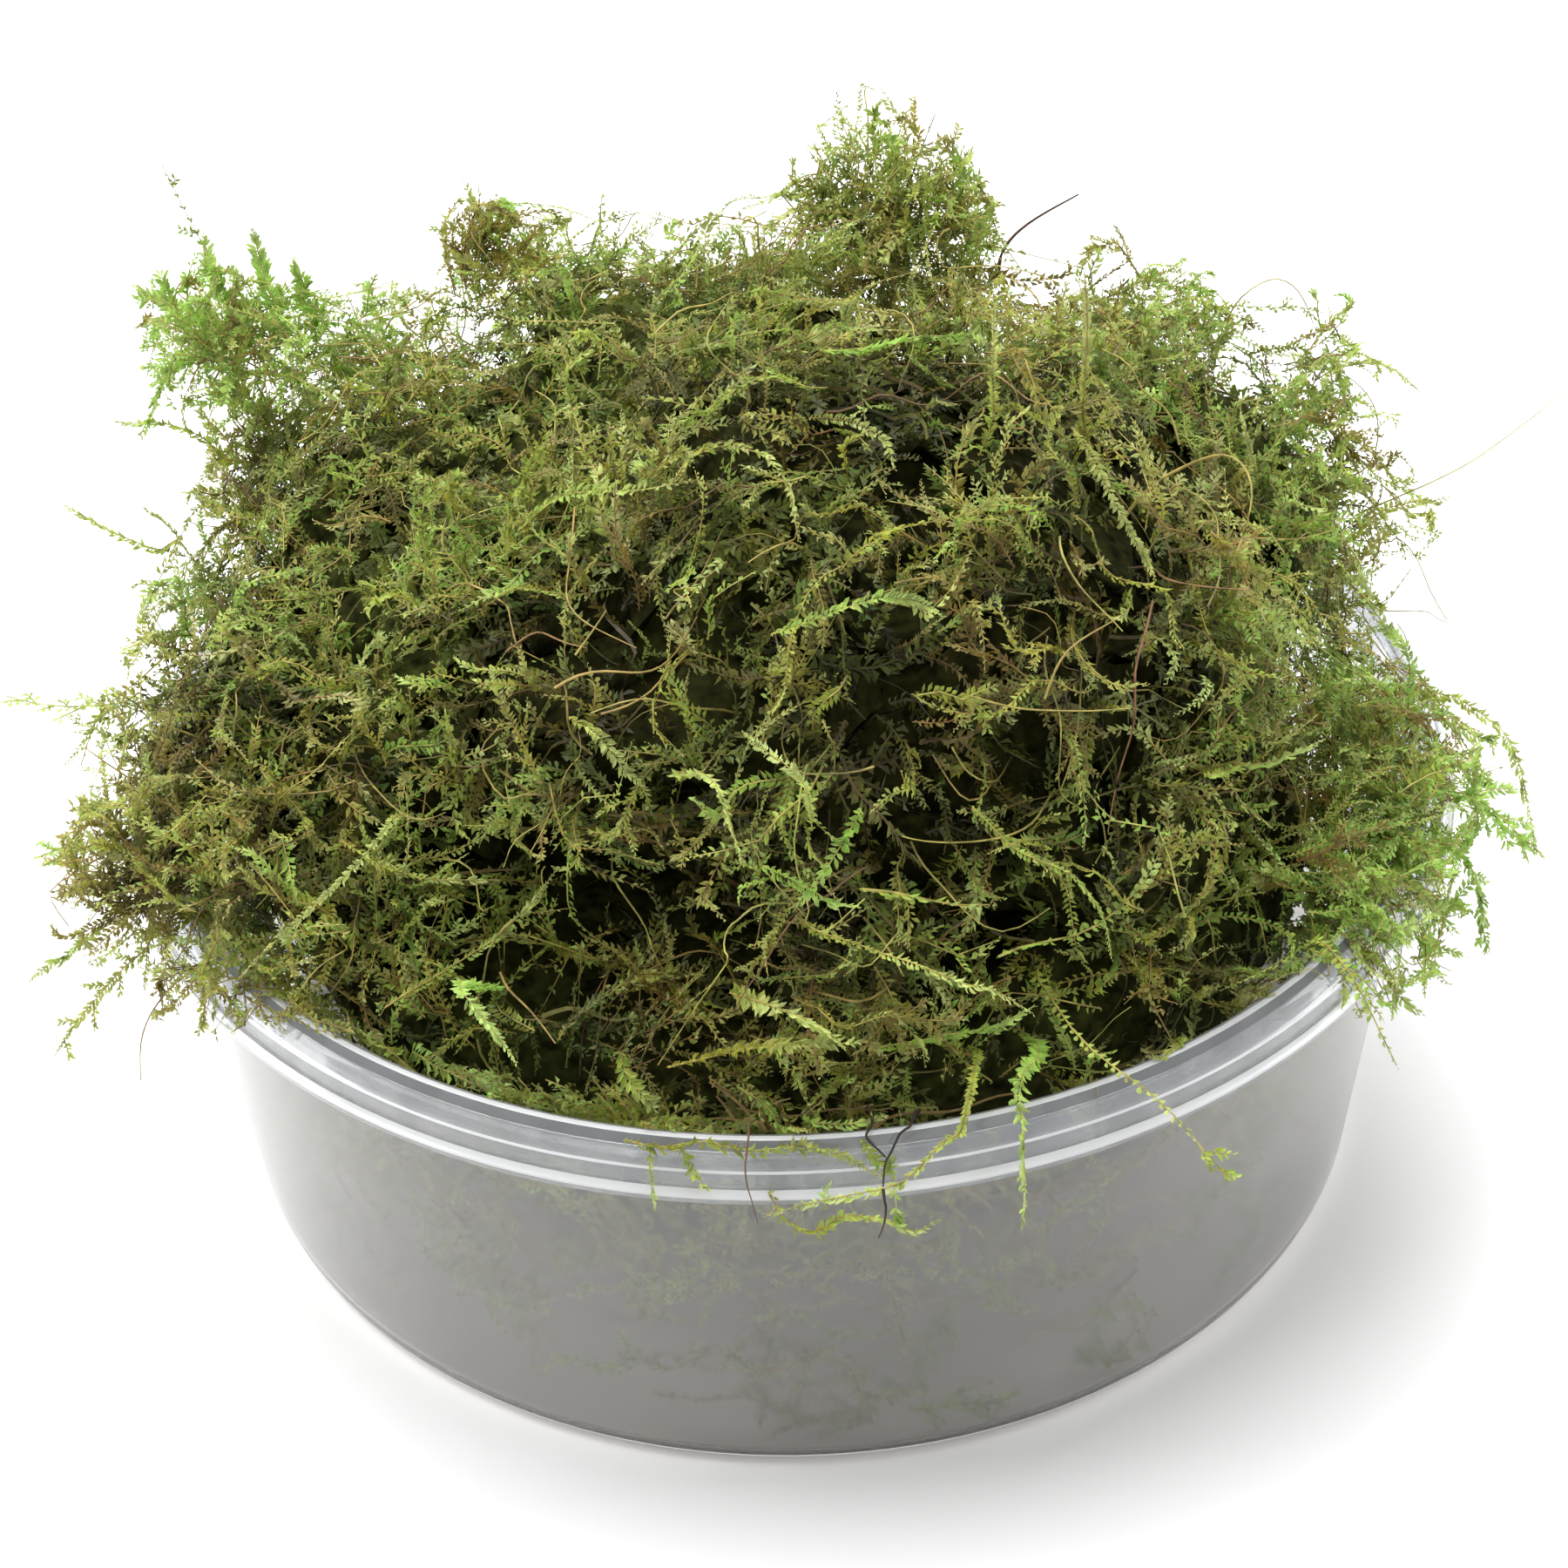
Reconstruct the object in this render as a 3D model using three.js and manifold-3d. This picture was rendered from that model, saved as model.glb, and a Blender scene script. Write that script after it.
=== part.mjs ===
// Christmas moss heaped in a round, clear tub.
// Millimetres, +Z up. The origin is the centre of the tub's flat underside, and -Y is the front.
import * as THREE from 'three';
import { mergeVertices } from 'three/addons/utils/BufferGeometryUtils.js';
import { ImprovedNoise } from 'three/addons/math/ImprovedNoise.js';
import Module from 'manifold-3d';

const wasm = await Module();
wasm.setup();

// Clear space between pieces that touch.
const gap = 0.35;

// Corners closer together than this are one corner, in a fresh geometry and after a cut.
const weldDistance = 1e-4;
const cutWeldDistance = 1e-5;

// The tub: a thin tapered wall with a stepped rim that a lid snaps over.
const tub = {
  height: 34.6,
  rimRadius: 50.5,
  lipRadius: 48.05,
  lipWidth: 0.75,
  wallTopRadius: 47.6,
  baseRadius: 44.6,
  wall: 0.7,
  cornerRadius: 1.6,
  rimDepth: 3.7,
  lipChamfer: { width: 0.5, height: 0.7 },
  leastInnerCorner: 0.3,
  sides: 32,
};

// The rim's outer steps, upwards: how far each is in from the bead's edge and up from its underside.
// swell says which way a swollen copy moves the step: down, not at all, or up.
const rimSteps = [
  { inward: 0.3, rise: 0, swell: -1 },
  { inward: 0, rise: 0.7, swell: 0 },
  { inward: 0.7, rise: 1.2, swell: 1 },
  { inward: 0.9, rise: 2.1, swell: 1 },
];

// The moss packed inside the tub: narrow at the bottom, and out to the rim at the top.
// A low squareness makes its section nearly a box, and lump and lumpLength size its swellings.
const packed = {
  bottom: tub.wall + gap,
  top: 38,
  lowRadius: 38,
  highRadius: 49,
  squareness: 0.12,
  rings: 8,
  sides: 24,
  lump: 2,
  lumpLength: 9,
};

// The loose clumps of the heap. tilt turns a clump about X, Y and Z, in degrees.
// lump is the size of its wide swellings, and tuft the reach of its pointed tufts.
const clumps = [
  {
    name: 'front_clump', centre: [7, -13, 45], radii: [30, 27, 26], tilt: [0, 0, 0],
    detail: 6, lump: 0.1, tuft: 0.17, seed: 11,
  },
  {
    name: 'back_clump', centre: [-8, 16, 40], radii: [29, 29, 22], tilt: [0, 0, 0],
    detail: 4, lump: 0.1, tuft: 0.16, seed: 23,
  },
  {
    name: 'back_right_clump', centre: [26, 11, 41], radii: [21, 23, 19], tilt: [0, 8, 0],
    detail: 4, lump: 0.12, tuft: 0.17, seed: 31,
  },
  {
    name: 'back_left_clump', centre: [-28, 11, 41], radii: [19, 23, 17], tilt: [0, 0, 0],
    detail: 4, lump: 0.12, tuft: 0.18, seed: 43,
  },
  {
    name: 'left_clump', centre: [-32, -10, 38], radii: [18, 24, 12], tilt: [0, 8, 0],
    detail: 4, lump: 0.12, tuft: 0.2, seed: 59,
  },
  {
    name: 'right_clump', centre: [34, -10, 34], radii: [14, 22, 11], tilt: [0, -10, 0],
    detail: 4, lump: 0.12, tuft: 0.2, seed: 61,
  },
  {
    name: 'peak_clump', centre: [9, 26, 56], radii: [8, 8, 12], tilt: [-16, 0, 0],
    detail: 3, lump: 0.12, tuft: 0.2, seed: 71,
  },
  {
    name: 'left_spur', centre: [-36, 18, 55], radii: [11, 6, 5], tilt: [0, 28, 0],
    detail: 3, lump: 0.14, tuft: 0.24, seed: 83,
  },
  {
    name: 'top_tuft', centre: [-21, 23, 57], radii: [4, 4, 8], tilt: [-10, -6, 0],
    detail: 2, lump: 0.12, tuft: 0.2, seed: 97,
  },
];

// How every clump is roughened, in shares of its radii: swellings per unit length, the highest
// and lowest tuft as multiples of its own tuft value, and how far corners stray sideways.
const roughness = { lumpsPerUnit: 1.9, tuftHeight: 1.6, tuftDip: 0.45, stray: 0.35 };

// Single shoots and twigs that stand out of the heap, each from its root to its tip.
// A frond is a flat shoot with leaf teeth along both edges, a stem is bare and a twig is woody.
// Between two teeth a frond narrows to toothGap of its width.
const toothGap = 0.5;
const bareStations = 5;
const frond = { width: 2.3, thickness: 0.8, teeth: 4, tip: 0.45, material: 'leaf' };
const fineFrond = { width: 1.5, thickness: 0.7, teeth: 3, tip: 0.4, material: 'leaf' };
const stem = { width: 0.8, thickness: 0.7, teeth: 0, tip: 0.6, material: 'stem' };
const twig = { width: 0.9, thickness: 0.8, teeth: 0, tip: 0.5, material: 'twig' };
const shoots = [
  // Over the front of the rim, from left to right.
  ['rim_hair', stem, [-3.5, -38, 34], [-3.6, -46, 38], [-3.7, -51.6, 36], [-3.5, -52, 31]],
  ['rim_strand', fineFrond, [12, -38, 34], [11, -46, 37.5], [8, -52, 35.5], [-3, -52.6, 32.4]],
  ['rim_twig', twig, [7, -38, 34], [6, -46, 38.5], [5, -51.5, 37], [4.4, -54.2, 31.5]],
  ['rim_frond', frond, [15, -38, 34], [14.5, -46, 38.5], [14, -51.5, 36.4], [12.8, -53.6, 31.6]],
  ['rim_long_stem', fineFrond, [14, -32, 37], [19, -45, 38.5], [26, -52.5, 35]],
  // Along the right side.
  ['right_hanging_frond', frond, [34, -31, 37], [37, -37.5, 37], [39.5, -40, 31.5]],
  ['right_low_frond', frond, [42, -17, 37], [48, -19, 33], [50, -21, 26]],
  ['right_green_frond', frond, [42, -12, 38], [49, -14, 35], [54.5, -17, 31]],
  ['right_drooping_frond', frond, [44, -4, 38], [52, -5, 36], [56, -11, 27]],
  ['right_upper_frond', fineFrond, [40, 5, 42], [46, 7, 46], [51, 8, 46.5]],
  ['right_wisp', stem, [40, 9, 44], [50, 9, 47], [60, 12, 53]],
  // Along the left side.
  ['left_far_frond', frond, [-46, -5, 39], [-52, -4, 40.5], [-58, -3, 41]],
  ['left_low_frond', frond, [-42, -12, 37], [-49, -13, 34.5], [-55.5, -13, 34]],
  ['left_fan_frond', frond, [-38, -20, 38], [-47, -23.5, 36], [-54, -25, 32]],
  ['left_fan_stem', stem, [-38, -24, 38], [-46, -26, 35], [-52, -29, 28]],
  ['left_hanging_hair', stem, [-37, -27, 38], [-44, -30, 34], [-46.5, -31, 27]],
  ['left_high_frond', fineFrond, [-43, 8, 44], [-49, 9, 46.5], [-54, 9, 50]],
  ['left_back_frond', frond, [-42, 15, 50], [-47, 17, 52], [-52, 19, 52]],
  // On the spur and along the top.
  ['spur_end_frond', frond, [-41, 20, 58], [-45, 21, 60], [-49, 22, 61.5]],
  ['spur_drooping_frond', frond, [-42, 18, 58], [-47, 18, 56], [-49, 18, 51]],
  ['spur_frond_1', frond, [-40, 20, 57], [-42.5, 22, 61], [-43.5, 24, 65]],
  ['spur_frond_2', frond, [-36, 19, 55], [-38.5, 22, 60], [-39.5, 24, 65]],
  ['spur_frond_3', frond, [-33, 19, 54], [-35.5, 22, 59], [-36.5, 23, 63]],
  ['top_tuft_frond', frond, [-21, 24, 58], [-22, 26, 63], [-23, 27, 67]],
  ['peak_frond_1', frond, [8, 28, 61], [8.5, 30, 66.5], [9, 31, 70.5]],
  ['peak_frond_2', frond, [11, 26, 60], [14, 28, 65], [16, 29, 67.5]],
  ['top_right_twig', twig, [16, 22, 57], [20, 25, 61.5], [23.5, 26, 64]],
  ['top_right_stem', stem, [32, 18, 55], [39, 21, 59.5], [42, 20, 55]],
  ['upper_right_frond', fineFrond, [36, 15, 51], [44, 16, 55], [49.5, 15, 52]],
  // On the front of the heap.
  ['front_upright_frond', frond, [20, -17, 66], [20.4, -17, 73], [20, -15, 79]],
  ['front_short_frond', fineFrond, [14, -18, 68], [14.4, -18, 73], [14, -16, 78]],
  ['front_curved_stem', stem, [24, -18, 64], [31, -22, 69], [28, -27, 61]],
  ['front_pale_stem', stem, [-26, -24, 44], [-28, -35, 49.5], [-36, -41.5, 44]],
  ['front_low_frond', frond, [-20, -32, 35], [-22, -41.5, 43], [-18, -46.5, 40]],
  ['front_long_stem', stem, [-4, -40, 47], [7, -45, 47], [14.5, -46, 42]],
  ['front_pale_frond', frond, [-8, -31, 52], [-5, -39.5, 57], [-3, -43, 53]],
  // Round the back, which has the same scatter of loose shoots.
  ['back_frond_1', frond, [-20, 40, 42], [-23, 48, 43], [-25, 54, 39]],
  ['back_frond_2', frond, [0, 41, 44], [2, 50, 45], [1, 55, 41]],
  ['back_frond_3', frond, [22, 37, 44], [26, 45, 46], [30, 49, 41]],
  ['back_left_frond', frond, [-36, 28, 46], [-41, 34, 48], [-45, 37, 45]],
];

const materials = {
  plastic: new THREE.MeshStandardMaterial({
    color: '#d8dbdf', roughness: 0.35, metalness: 0, transparent: true, opacity: 0.45,
  }),
  moss: new THREE.MeshStandardMaterial({ color: '#5c6326', roughness: 0.85, metalness: 0 }),
  leaf: new THREE.MeshStandardMaterial({ color: '#7c9440', roughness: 0.8, metalness: 0 }),
  stem: new THREE.MeshStandardMaterial({ color: '#9a8a3c', roughness: 0.75, metalness: 0 }),
  twig: new THREE.MeshStandardMaterial({ color: '#3a2a1c', roughness: 0.8, metalness: 0 }),
};

const noise = new ImprovedNoise();

// A repeatable random sequence between 0 and 1.
const multiplier = 16807;
const modulus = 2147483647;
function sequence(seed) {
  let state = seed;
  return () => {
    state = (state * multiplier) % modulus;
    return (state - 1) / (modulus - 1);
  };
}

// A geometry with positions alone, its shared corners joined.
function welded(geometry) {
  geometry.deleteAttribute('normal');
  geometry.deleteAttribute('uv');
  return mergeVertices(geometry, weldDistance);
}

function toSolid(geometry) {
  return new wasm.Manifold(new wasm.Mesh({
    numProp: 3,
    vertProperties: new Float32Array(geometry.attributes.position.array),
    triVerts: new Uint32Array(geometry.index.array),
  }));
}

// The faces of one connected skin out of a mesh, as a geometry.
function skinGeometry(vertices, faces) {
  const geometry = new THREE.BufferGeometry();
  geometry.setAttribute('position', new THREE.BufferAttribute(vertices, 3));
  geometry.setIndex(faces);
  return mergeVertices(geometry.toNonIndexed(), cutWeldDistance);
}

function signedVolume(vertices, faces) {
  const corners = [new THREE.Vector3(), new THREE.Vector3(), new THREE.Vector3()];
  let volume = 0;
  for (let i = 0; i < faces.length; i += 3) {
    corners.forEach((corner, k) => corner.fromArray(vertices, faces[i + k] * 3));
    volume += corners[0].dot(corners[1].cross(corners[2])) / 6;
  }
  return volume;
}

// A cut can leave crumbs, so only the largest body of the result is kept.
function largestBody(solid) {
  const mesh = solid.getMesh();
  const vertices = new Float32Array(mesh.vertProperties);
  const parent = Array.from({ length: mesh.numVert }, (_, i) => i);
  const find = (i) => {
    let root = i;
    while (parent[root] !== root) root = parent[root];
    parent[i] = root;
    return root;
  };
  for (let i = 0; i < mesh.triVerts.length; i += 3) {
    const root = find(mesh.triVerts[i]);
    parent[find(mesh.triVerts[i + 1])] = root;
    parent[find(mesh.triVerts[i + 2])] = root;
  }
  const skins = new Map();
  for (let i = 0; i < mesh.triVerts.length; i += 3) {
    const root = find(mesh.triVerts[i]);
    if (!skins.has(root)) skins.set(root, []);
    skins.get(root).push(...mesh.triVerts.slice(i, i + 3));
  }
  const ranked = [...skins.values()]
    .map((faces) => ({ faces, volume: signedVolume(vertices, faces) }))
    .sort((a, b) => b.volume - a.volume);
  return skinGeometry(vertices, ranked[0].faces);
}

// The tub's section turned about its axis. extra swells it evenly, for cutting its neighbours clear.
function tubGeometry(extra) {
  const { height, rimRadius, lipRadius, lipChamfer, wallTopRadius, baseRadius, wall, cornerRadius } = tub;
  const skirt = height - tub.rimDepth;
  const outerCorner = new THREE.Path();
  outerCorner.absarc(baseRadius - cornerRadius, cornerRadius, cornerRadius + extra, -Math.PI / 2, 0);
  const innerCorner = new THREE.Path();
  const innerRadius = Math.max(cornerRadius - wall - extra, tub.leastInnerCorner);
  innerCorner.absarc(baseRadius - cornerRadius, cornerRadius, innerRadius, 0, -Math.PI / 2, true);
  const innerTop = lipRadius - tub.lipWidth - extra;
  const section = [
    new THREE.Vector2(0, -extra),
    ...outerCorner.getPoints(2),
    new THREE.Vector2(wallTopRadius + extra, skirt - extra),
    ...rimSteps.map(({ inward, rise, swell }) => (
      new THREE.Vector2(rimRadius - inward + extra, skirt + rise + swell * extra))),
    new THREE.Vector2(lipRadius + lipChamfer.width + extra, height - lipChamfer.height + extra),
    new THREE.Vector2(lipRadius + extra / 2, height + extra),
    new THREE.Vector2(innerTop, height + extra),
    new THREE.Vector2(wallTopRadius - wall - extra, skirt),
    ...innerCorner.getPoints(2),
    new THREE.Vector2(0, wall + extra),
  ];
  const geometry = welded(new THREE.LatheGeometry(section, tub.sides));
  geometry.rotateX(Math.PI / 2);
  return geometry;
}

// The packed moss: a stack of rings, narrow at the base, with swellings and an untidy top.
function packedGeometry(extra) {
  const section = [];
  for (let i = 0; i <= packed.rings; i += 1) {
    const angle = -Math.PI / 2 + (Math.PI * i) / packed.rings;
    const rise = (Math.sin(angle) + 1) / 2;
    const width = THREE.MathUtils.lerp(packed.lowRadius, packed.highRadius, rise);
    const radius = i % packed.rings ? width * Math.cos(angle) ** packed.squareness : 0;
    section.push(new THREE.Vector2(radius, THREE.MathUtils.lerp(packed.bottom, packed.top, rise)));
  }
  const geometry = welded(new THREE.LatheGeometry(section, packed.sides));
  geometry.rotateX(Math.PI / 2);
  const middle = new THREE.Vector3(0, 0, (packed.bottom + packed.top) / 2);
  const point = new THREE.Vector3();
  const { position } = geometry.attributes;
  for (let i = 0; i < position.count; i += 1) {
    point.fromBufferAttribute(position, i);
    const sample = point.clone().divideScalar(packed.lumpLength);
    const swell = packed.lump * noise.noise(sample.x, sample.y, sample.z);
    const outward = point.clone().sub(middle).normalize();
    point.addScaledVector(outward, swell + extra);
    position.setXYZ(i, point.x, point.y, Math.max(point.z, packed.bottom - extra));
  }
  return geometry;
}

// A clump: a ball with wide swellings and short pointed tufts all over.
function clumpGeometry(clump, extra) {
  const geometry = welded(new THREE.IcosahedronGeometry(1, clump.detail));
  const random = sequence(clump.seed);
  const radii = new THREE.Vector3(...clump.radii);
  const turn = new THREE.Euler(...clump.tilt.map(THREE.MathUtils.degToRad));
  const stray = roughness.stray / (clump.detail + 1);
  const point = new THREE.Vector3();
  const { position } = geometry.attributes;
  for (let i = 0; i < position.count; i += 1) {
    point.fromBufferAttribute(position, i);
    const sample = point.clone().multiplyScalar(roughness.lumpsPerUnit);
    const swell = clump.lump * 2 * noise.noise(sample.x + clump.seed, sample.y, sample.z);
    const reach = clump.tuft * (random() ** 2 * roughness.tuftHeight - roughness.tuftDip);
    point.x += stray * (random() - 0.5);
    point.y += stray * (random() - 0.5);
    point.z += stray * (random() - 0.5);
    point.normalize().multiplyScalar(1 + swell + reach).multiply(radii);
    point.setLength(point.length() + extra).applyEuler(turn);
    position.setXYZ(i, point.x + clump.centre[0], point.y + clump.centre[1], point.z + clump.centre[2]);
  }
  return geometry;
}

// How wide a shoot is at one station: leaf teeth swell and shrink it, and it tapers to its tip.
function shootWidth(kind, station, stations) {
  const along = station / stations;
  const taper = 1 - (1 - kind.tip) * along ** 2;
  const tooth = kind.teeth && station % 2 === 0 ? toothGap : 1;
  return taper * tooth;
}

// A shoot: a flat section carried along a smooth curve through its points.
function shootGeometry([, kind, ...points], extra) {
  const curve = new THREE.CatmullRomCurve3(points.map((p) => new THREE.Vector3(...p)));
  const stations = kind.teeth ? kind.teeth * 2 : bareStations;
  const halfWidth = kind.width / 2 + extra;
  const halfDepth = kind.thickness / 2 + extra;
  const section = new THREE.Shape([
    new THREE.Vector2(halfWidth, 0),
    new THREE.Vector2(0, halfDepth),
    new THREE.Vector2(-halfWidth, 0),
    new THREE.Vector2(0, -halfDepth),
  ]);
  const geometry = welded(new THREE.ExtrudeGeometry(section, {
    steps: stations, extrudePath: curve, bevelEnabled: false,
  }));
  const centres = curve.getSpacedPoints(stations);
  const point = new THREE.Vector3();
  const { position } = geometry.attributes;
  for (let i = 0; i < position.count; i += 1) {
    point.fromBufferAttribute(position, i);
    const distances = centres.map((centre) => centre.distanceTo(point));
    const station = distances.indexOf(Math.min(...distances));
    const scale = shootWidth(kind, station, stations);
    point.sub(centres[station]).multiplyScalar(scale).add(centres[station]);
    position.setXYZ(i, point.x, point.y, point.z);
  }
  return geometry;
}

const group = new THREE.Group();
const placed = [];

// Add one piece, cut clear of every piece that is already there.
function place(name, material, shape) {
  const whole = shape(0);
  whole.computeBoundingBox();
  let solid = toSolid(whole);
  for (const other of placed) {
    if (other.box.intersectsBox(whole.boundingBox)) solid = solid.subtract(other.solid);
  }
  const mesh = new THREE.Mesh(largestBody(solid), materials[material]);
  mesh.name = name;
  group.add(mesh);
  const swollen = shape(gap);
  swollen.computeBoundingBox();
  placed.push({ solid: toSolid(swollen), box: swollen.boundingBox });
}

place('tub', 'plastic', tubGeometry);
place('moss_in_tub', 'moss', packedGeometry);
for (const clump of clumps) {
  place(clump.name, 'moss', (extra) => clumpGeometry(clump, extra));
}
for (const shoot of shoots) {
  place(shoot[0], shoot[1].material, (extra) => shootGeometry(shoot, extra));
}

export default group;
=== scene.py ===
# Christmas moss heaped in a round frosted tub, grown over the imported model's solids.
import heapq
import math

import bmesh
import bpy
import numpy as np
from mathutils import Matrix, Vector, noise
from mathutils.bvhtree import BVHTree


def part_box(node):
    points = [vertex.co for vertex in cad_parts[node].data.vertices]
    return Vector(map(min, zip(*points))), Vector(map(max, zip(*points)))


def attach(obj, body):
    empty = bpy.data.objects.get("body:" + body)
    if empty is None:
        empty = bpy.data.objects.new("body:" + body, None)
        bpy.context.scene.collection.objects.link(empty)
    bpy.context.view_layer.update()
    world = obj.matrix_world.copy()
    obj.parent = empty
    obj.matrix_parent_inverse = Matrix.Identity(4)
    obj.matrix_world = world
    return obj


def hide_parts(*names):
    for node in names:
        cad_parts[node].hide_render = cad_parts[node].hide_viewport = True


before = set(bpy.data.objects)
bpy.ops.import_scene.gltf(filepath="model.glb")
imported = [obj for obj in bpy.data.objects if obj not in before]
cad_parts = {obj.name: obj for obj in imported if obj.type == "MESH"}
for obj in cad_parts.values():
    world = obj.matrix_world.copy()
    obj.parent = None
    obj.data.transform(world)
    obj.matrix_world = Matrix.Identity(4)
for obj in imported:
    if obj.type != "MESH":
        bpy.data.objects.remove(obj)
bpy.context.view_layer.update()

mm = 0.001  # the moss is worked out in millimetres and written in metres
up = np.array([0.0, 0.0, 1.0])

# Camera: as the photograph was taken, from the front and well above the rim.
cameraValues = {
    "target": (-0.5, 0.0, 27.8),
    "distance": 250.0,
    "elevation": 36.18,
    "roll": -2.34,
    "lens": 74.0,
    "sensor": 36.0,
    "clip": (0.01, 20.0),
}


def cameraAxes(values):
    elevation = math.radians(values["elevation"])
    roll = math.radians(values["roll"])
    back = Vector((0, -math.cos(elevation), math.sin(elevation)))
    right = Vector((1, 0, 0))
    above = back.cross(right)
    across = right * math.cos(roll) + above * math.sin(roll)
    upward = above * math.cos(roll) - right * math.sin(roll)
    return across, upward, back


def addCamera(values):
    across, upward, back = cameraAxes(values)
    place = (Vector(values["target"]) + back * values["distance"]) * mm
    data = bpy.data.cameras.new("camera")
    data.sensor_fit = "HORIZONTAL"
    data.sensor_width = values["sensor"]
    data.lens = values["lens"]
    data.clip_start, data.clip_end = values["clip"]
    camera = bpy.data.objects.new("camera", data)
    camera.matrix_world = Matrix.Translation(place) @ Matrix((across, upward, back)).transposed().to_4x4()
    bpy.context.scene.collection.objects.link(camera)
    bpy.context.scene.camera = camera


# Studio: a pale floor under a white sky, with four soft lamps.
studioValues = {
    "floorSize": 4.0,
    "floorHeight": -0.0002,
    "floorColor": (0.96, 0.96, 0.96, 1),
    "floorRoughness": 0.7,
    "skyColor": (1.0, 1.0, 1.0, 1),
    "skyStrength": 0.44,
    "aim": (0, 0, 0.04),
    # name, place in metres, size in metres, watts
    "lamps": [
        ("top_lamp", (-0.15, 0.25, 0.8), 1.0, 14.0),
        ("front_lamp", (0.25, -0.7, 0.45), 0.5, 0.7),
        ("left_lamp", (-0.6, 0.05, 0.35), 0.3, 1.5),
        ("right_lamp", (0.6, 0.12, 0.3), 0.3, 1.35),
    ],
}


def addStudio(values):
    half = values["floorSize"] / 2
    corners = [(-half, -half, 0), (half, -half, 0), (half, half, 0), (-half, half, 0)]
    mesh = bpy.data.meshes.new("floor")
    mesh.from_pydata(corners, [], [(0, 1, 2, 3)])
    floor = bpy.data.objects.new("floor", mesh)
    floor.location.z = values["floorHeight"]
    bpy.context.scene.collection.objects.link(floor)
    material, _, shader = newMaterial("floorPaint", values["floorColor"])
    shader.inputs["Roughness"].default_value = values["floorRoughness"]
    mesh.materials.append(material)
    world = bpy.data.worlds.new("sky")
    world.use_nodes = True
    sky = world.node_tree.nodes["Background"]
    sky.inputs["Color"].default_value = values["skyColor"]
    sky.inputs["Strength"].default_value = values["skyStrength"]
    bpy.context.scene.world = world
    for name, place, size, watts in values["lamps"]:
        data = bpy.data.lights.new(name, "AREA")
        data.size = size
        data.energy = watts
        lamp = bpy.data.objects.new(name, data)
        lamp.location = place
        aim = Vector(values["aim"]) - Vector(place)
        lamp.rotation_euler = aim.to_track_quat("-Z", "Y").to_euler()
        bpy.context.scene.collection.objects.link(lamp)
    bpy.context.scene.view_settings.view_transform = "Standard"


# Shader helpers. An input is given another node's output, or else a number, a colour or a vector.
def addNode(tree, kind, inputs=None, **settings):
    node = tree.nodes.new(kind)
    for key, value in settings.items():
        setattr(node, key, value)
    fillInputs(tree, node, inputs or {})
    return node


def fillInputs(tree, node, inputs):
    for socket, value in inputs.items():
        if isinstance(value, bpy.types.NodeSocket):
            tree.links.new(value, node.inputs[socket])
        else:
            node.inputs[socket].default_value = value


def newGroup(name, inputs, outputs):
    group = bpy.data.node_groups.new(name, "ShaderNodeTree")
    for label, kind, value in inputs:
        socket = group.interface.new_socket(label, in_out="INPUT", socket_type="NodeSocket" + kind)
        socket.default_value = value
    for label, kind in outputs:
        group.interface.new_socket(label, in_out="OUTPUT", socket_type="NodeSocket" + kind)
    return group, group.nodes.new("NodeGroupInput"), group.nodes.new("NodeGroupOutput")


tintAndShadeValues = {
    "mottleScale": 900.0,
    "patchScale": 60.0,
    "patchShift": 0.7,  # how far wide patches of the heap move a strand's tone
    "oldBelow": 0.45,  # tones between old and middle
    "youngAbove": (0.4, 0.9),  # tones between middle and young
    "endPower": 3.0,  # how close to a strand's end its pale part begins
    "endShare": 0.55,
    "depthPower": 1.7,
    "speckRange": (0.3, 0.7),
    "speckLight": 1.3,
}
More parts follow.
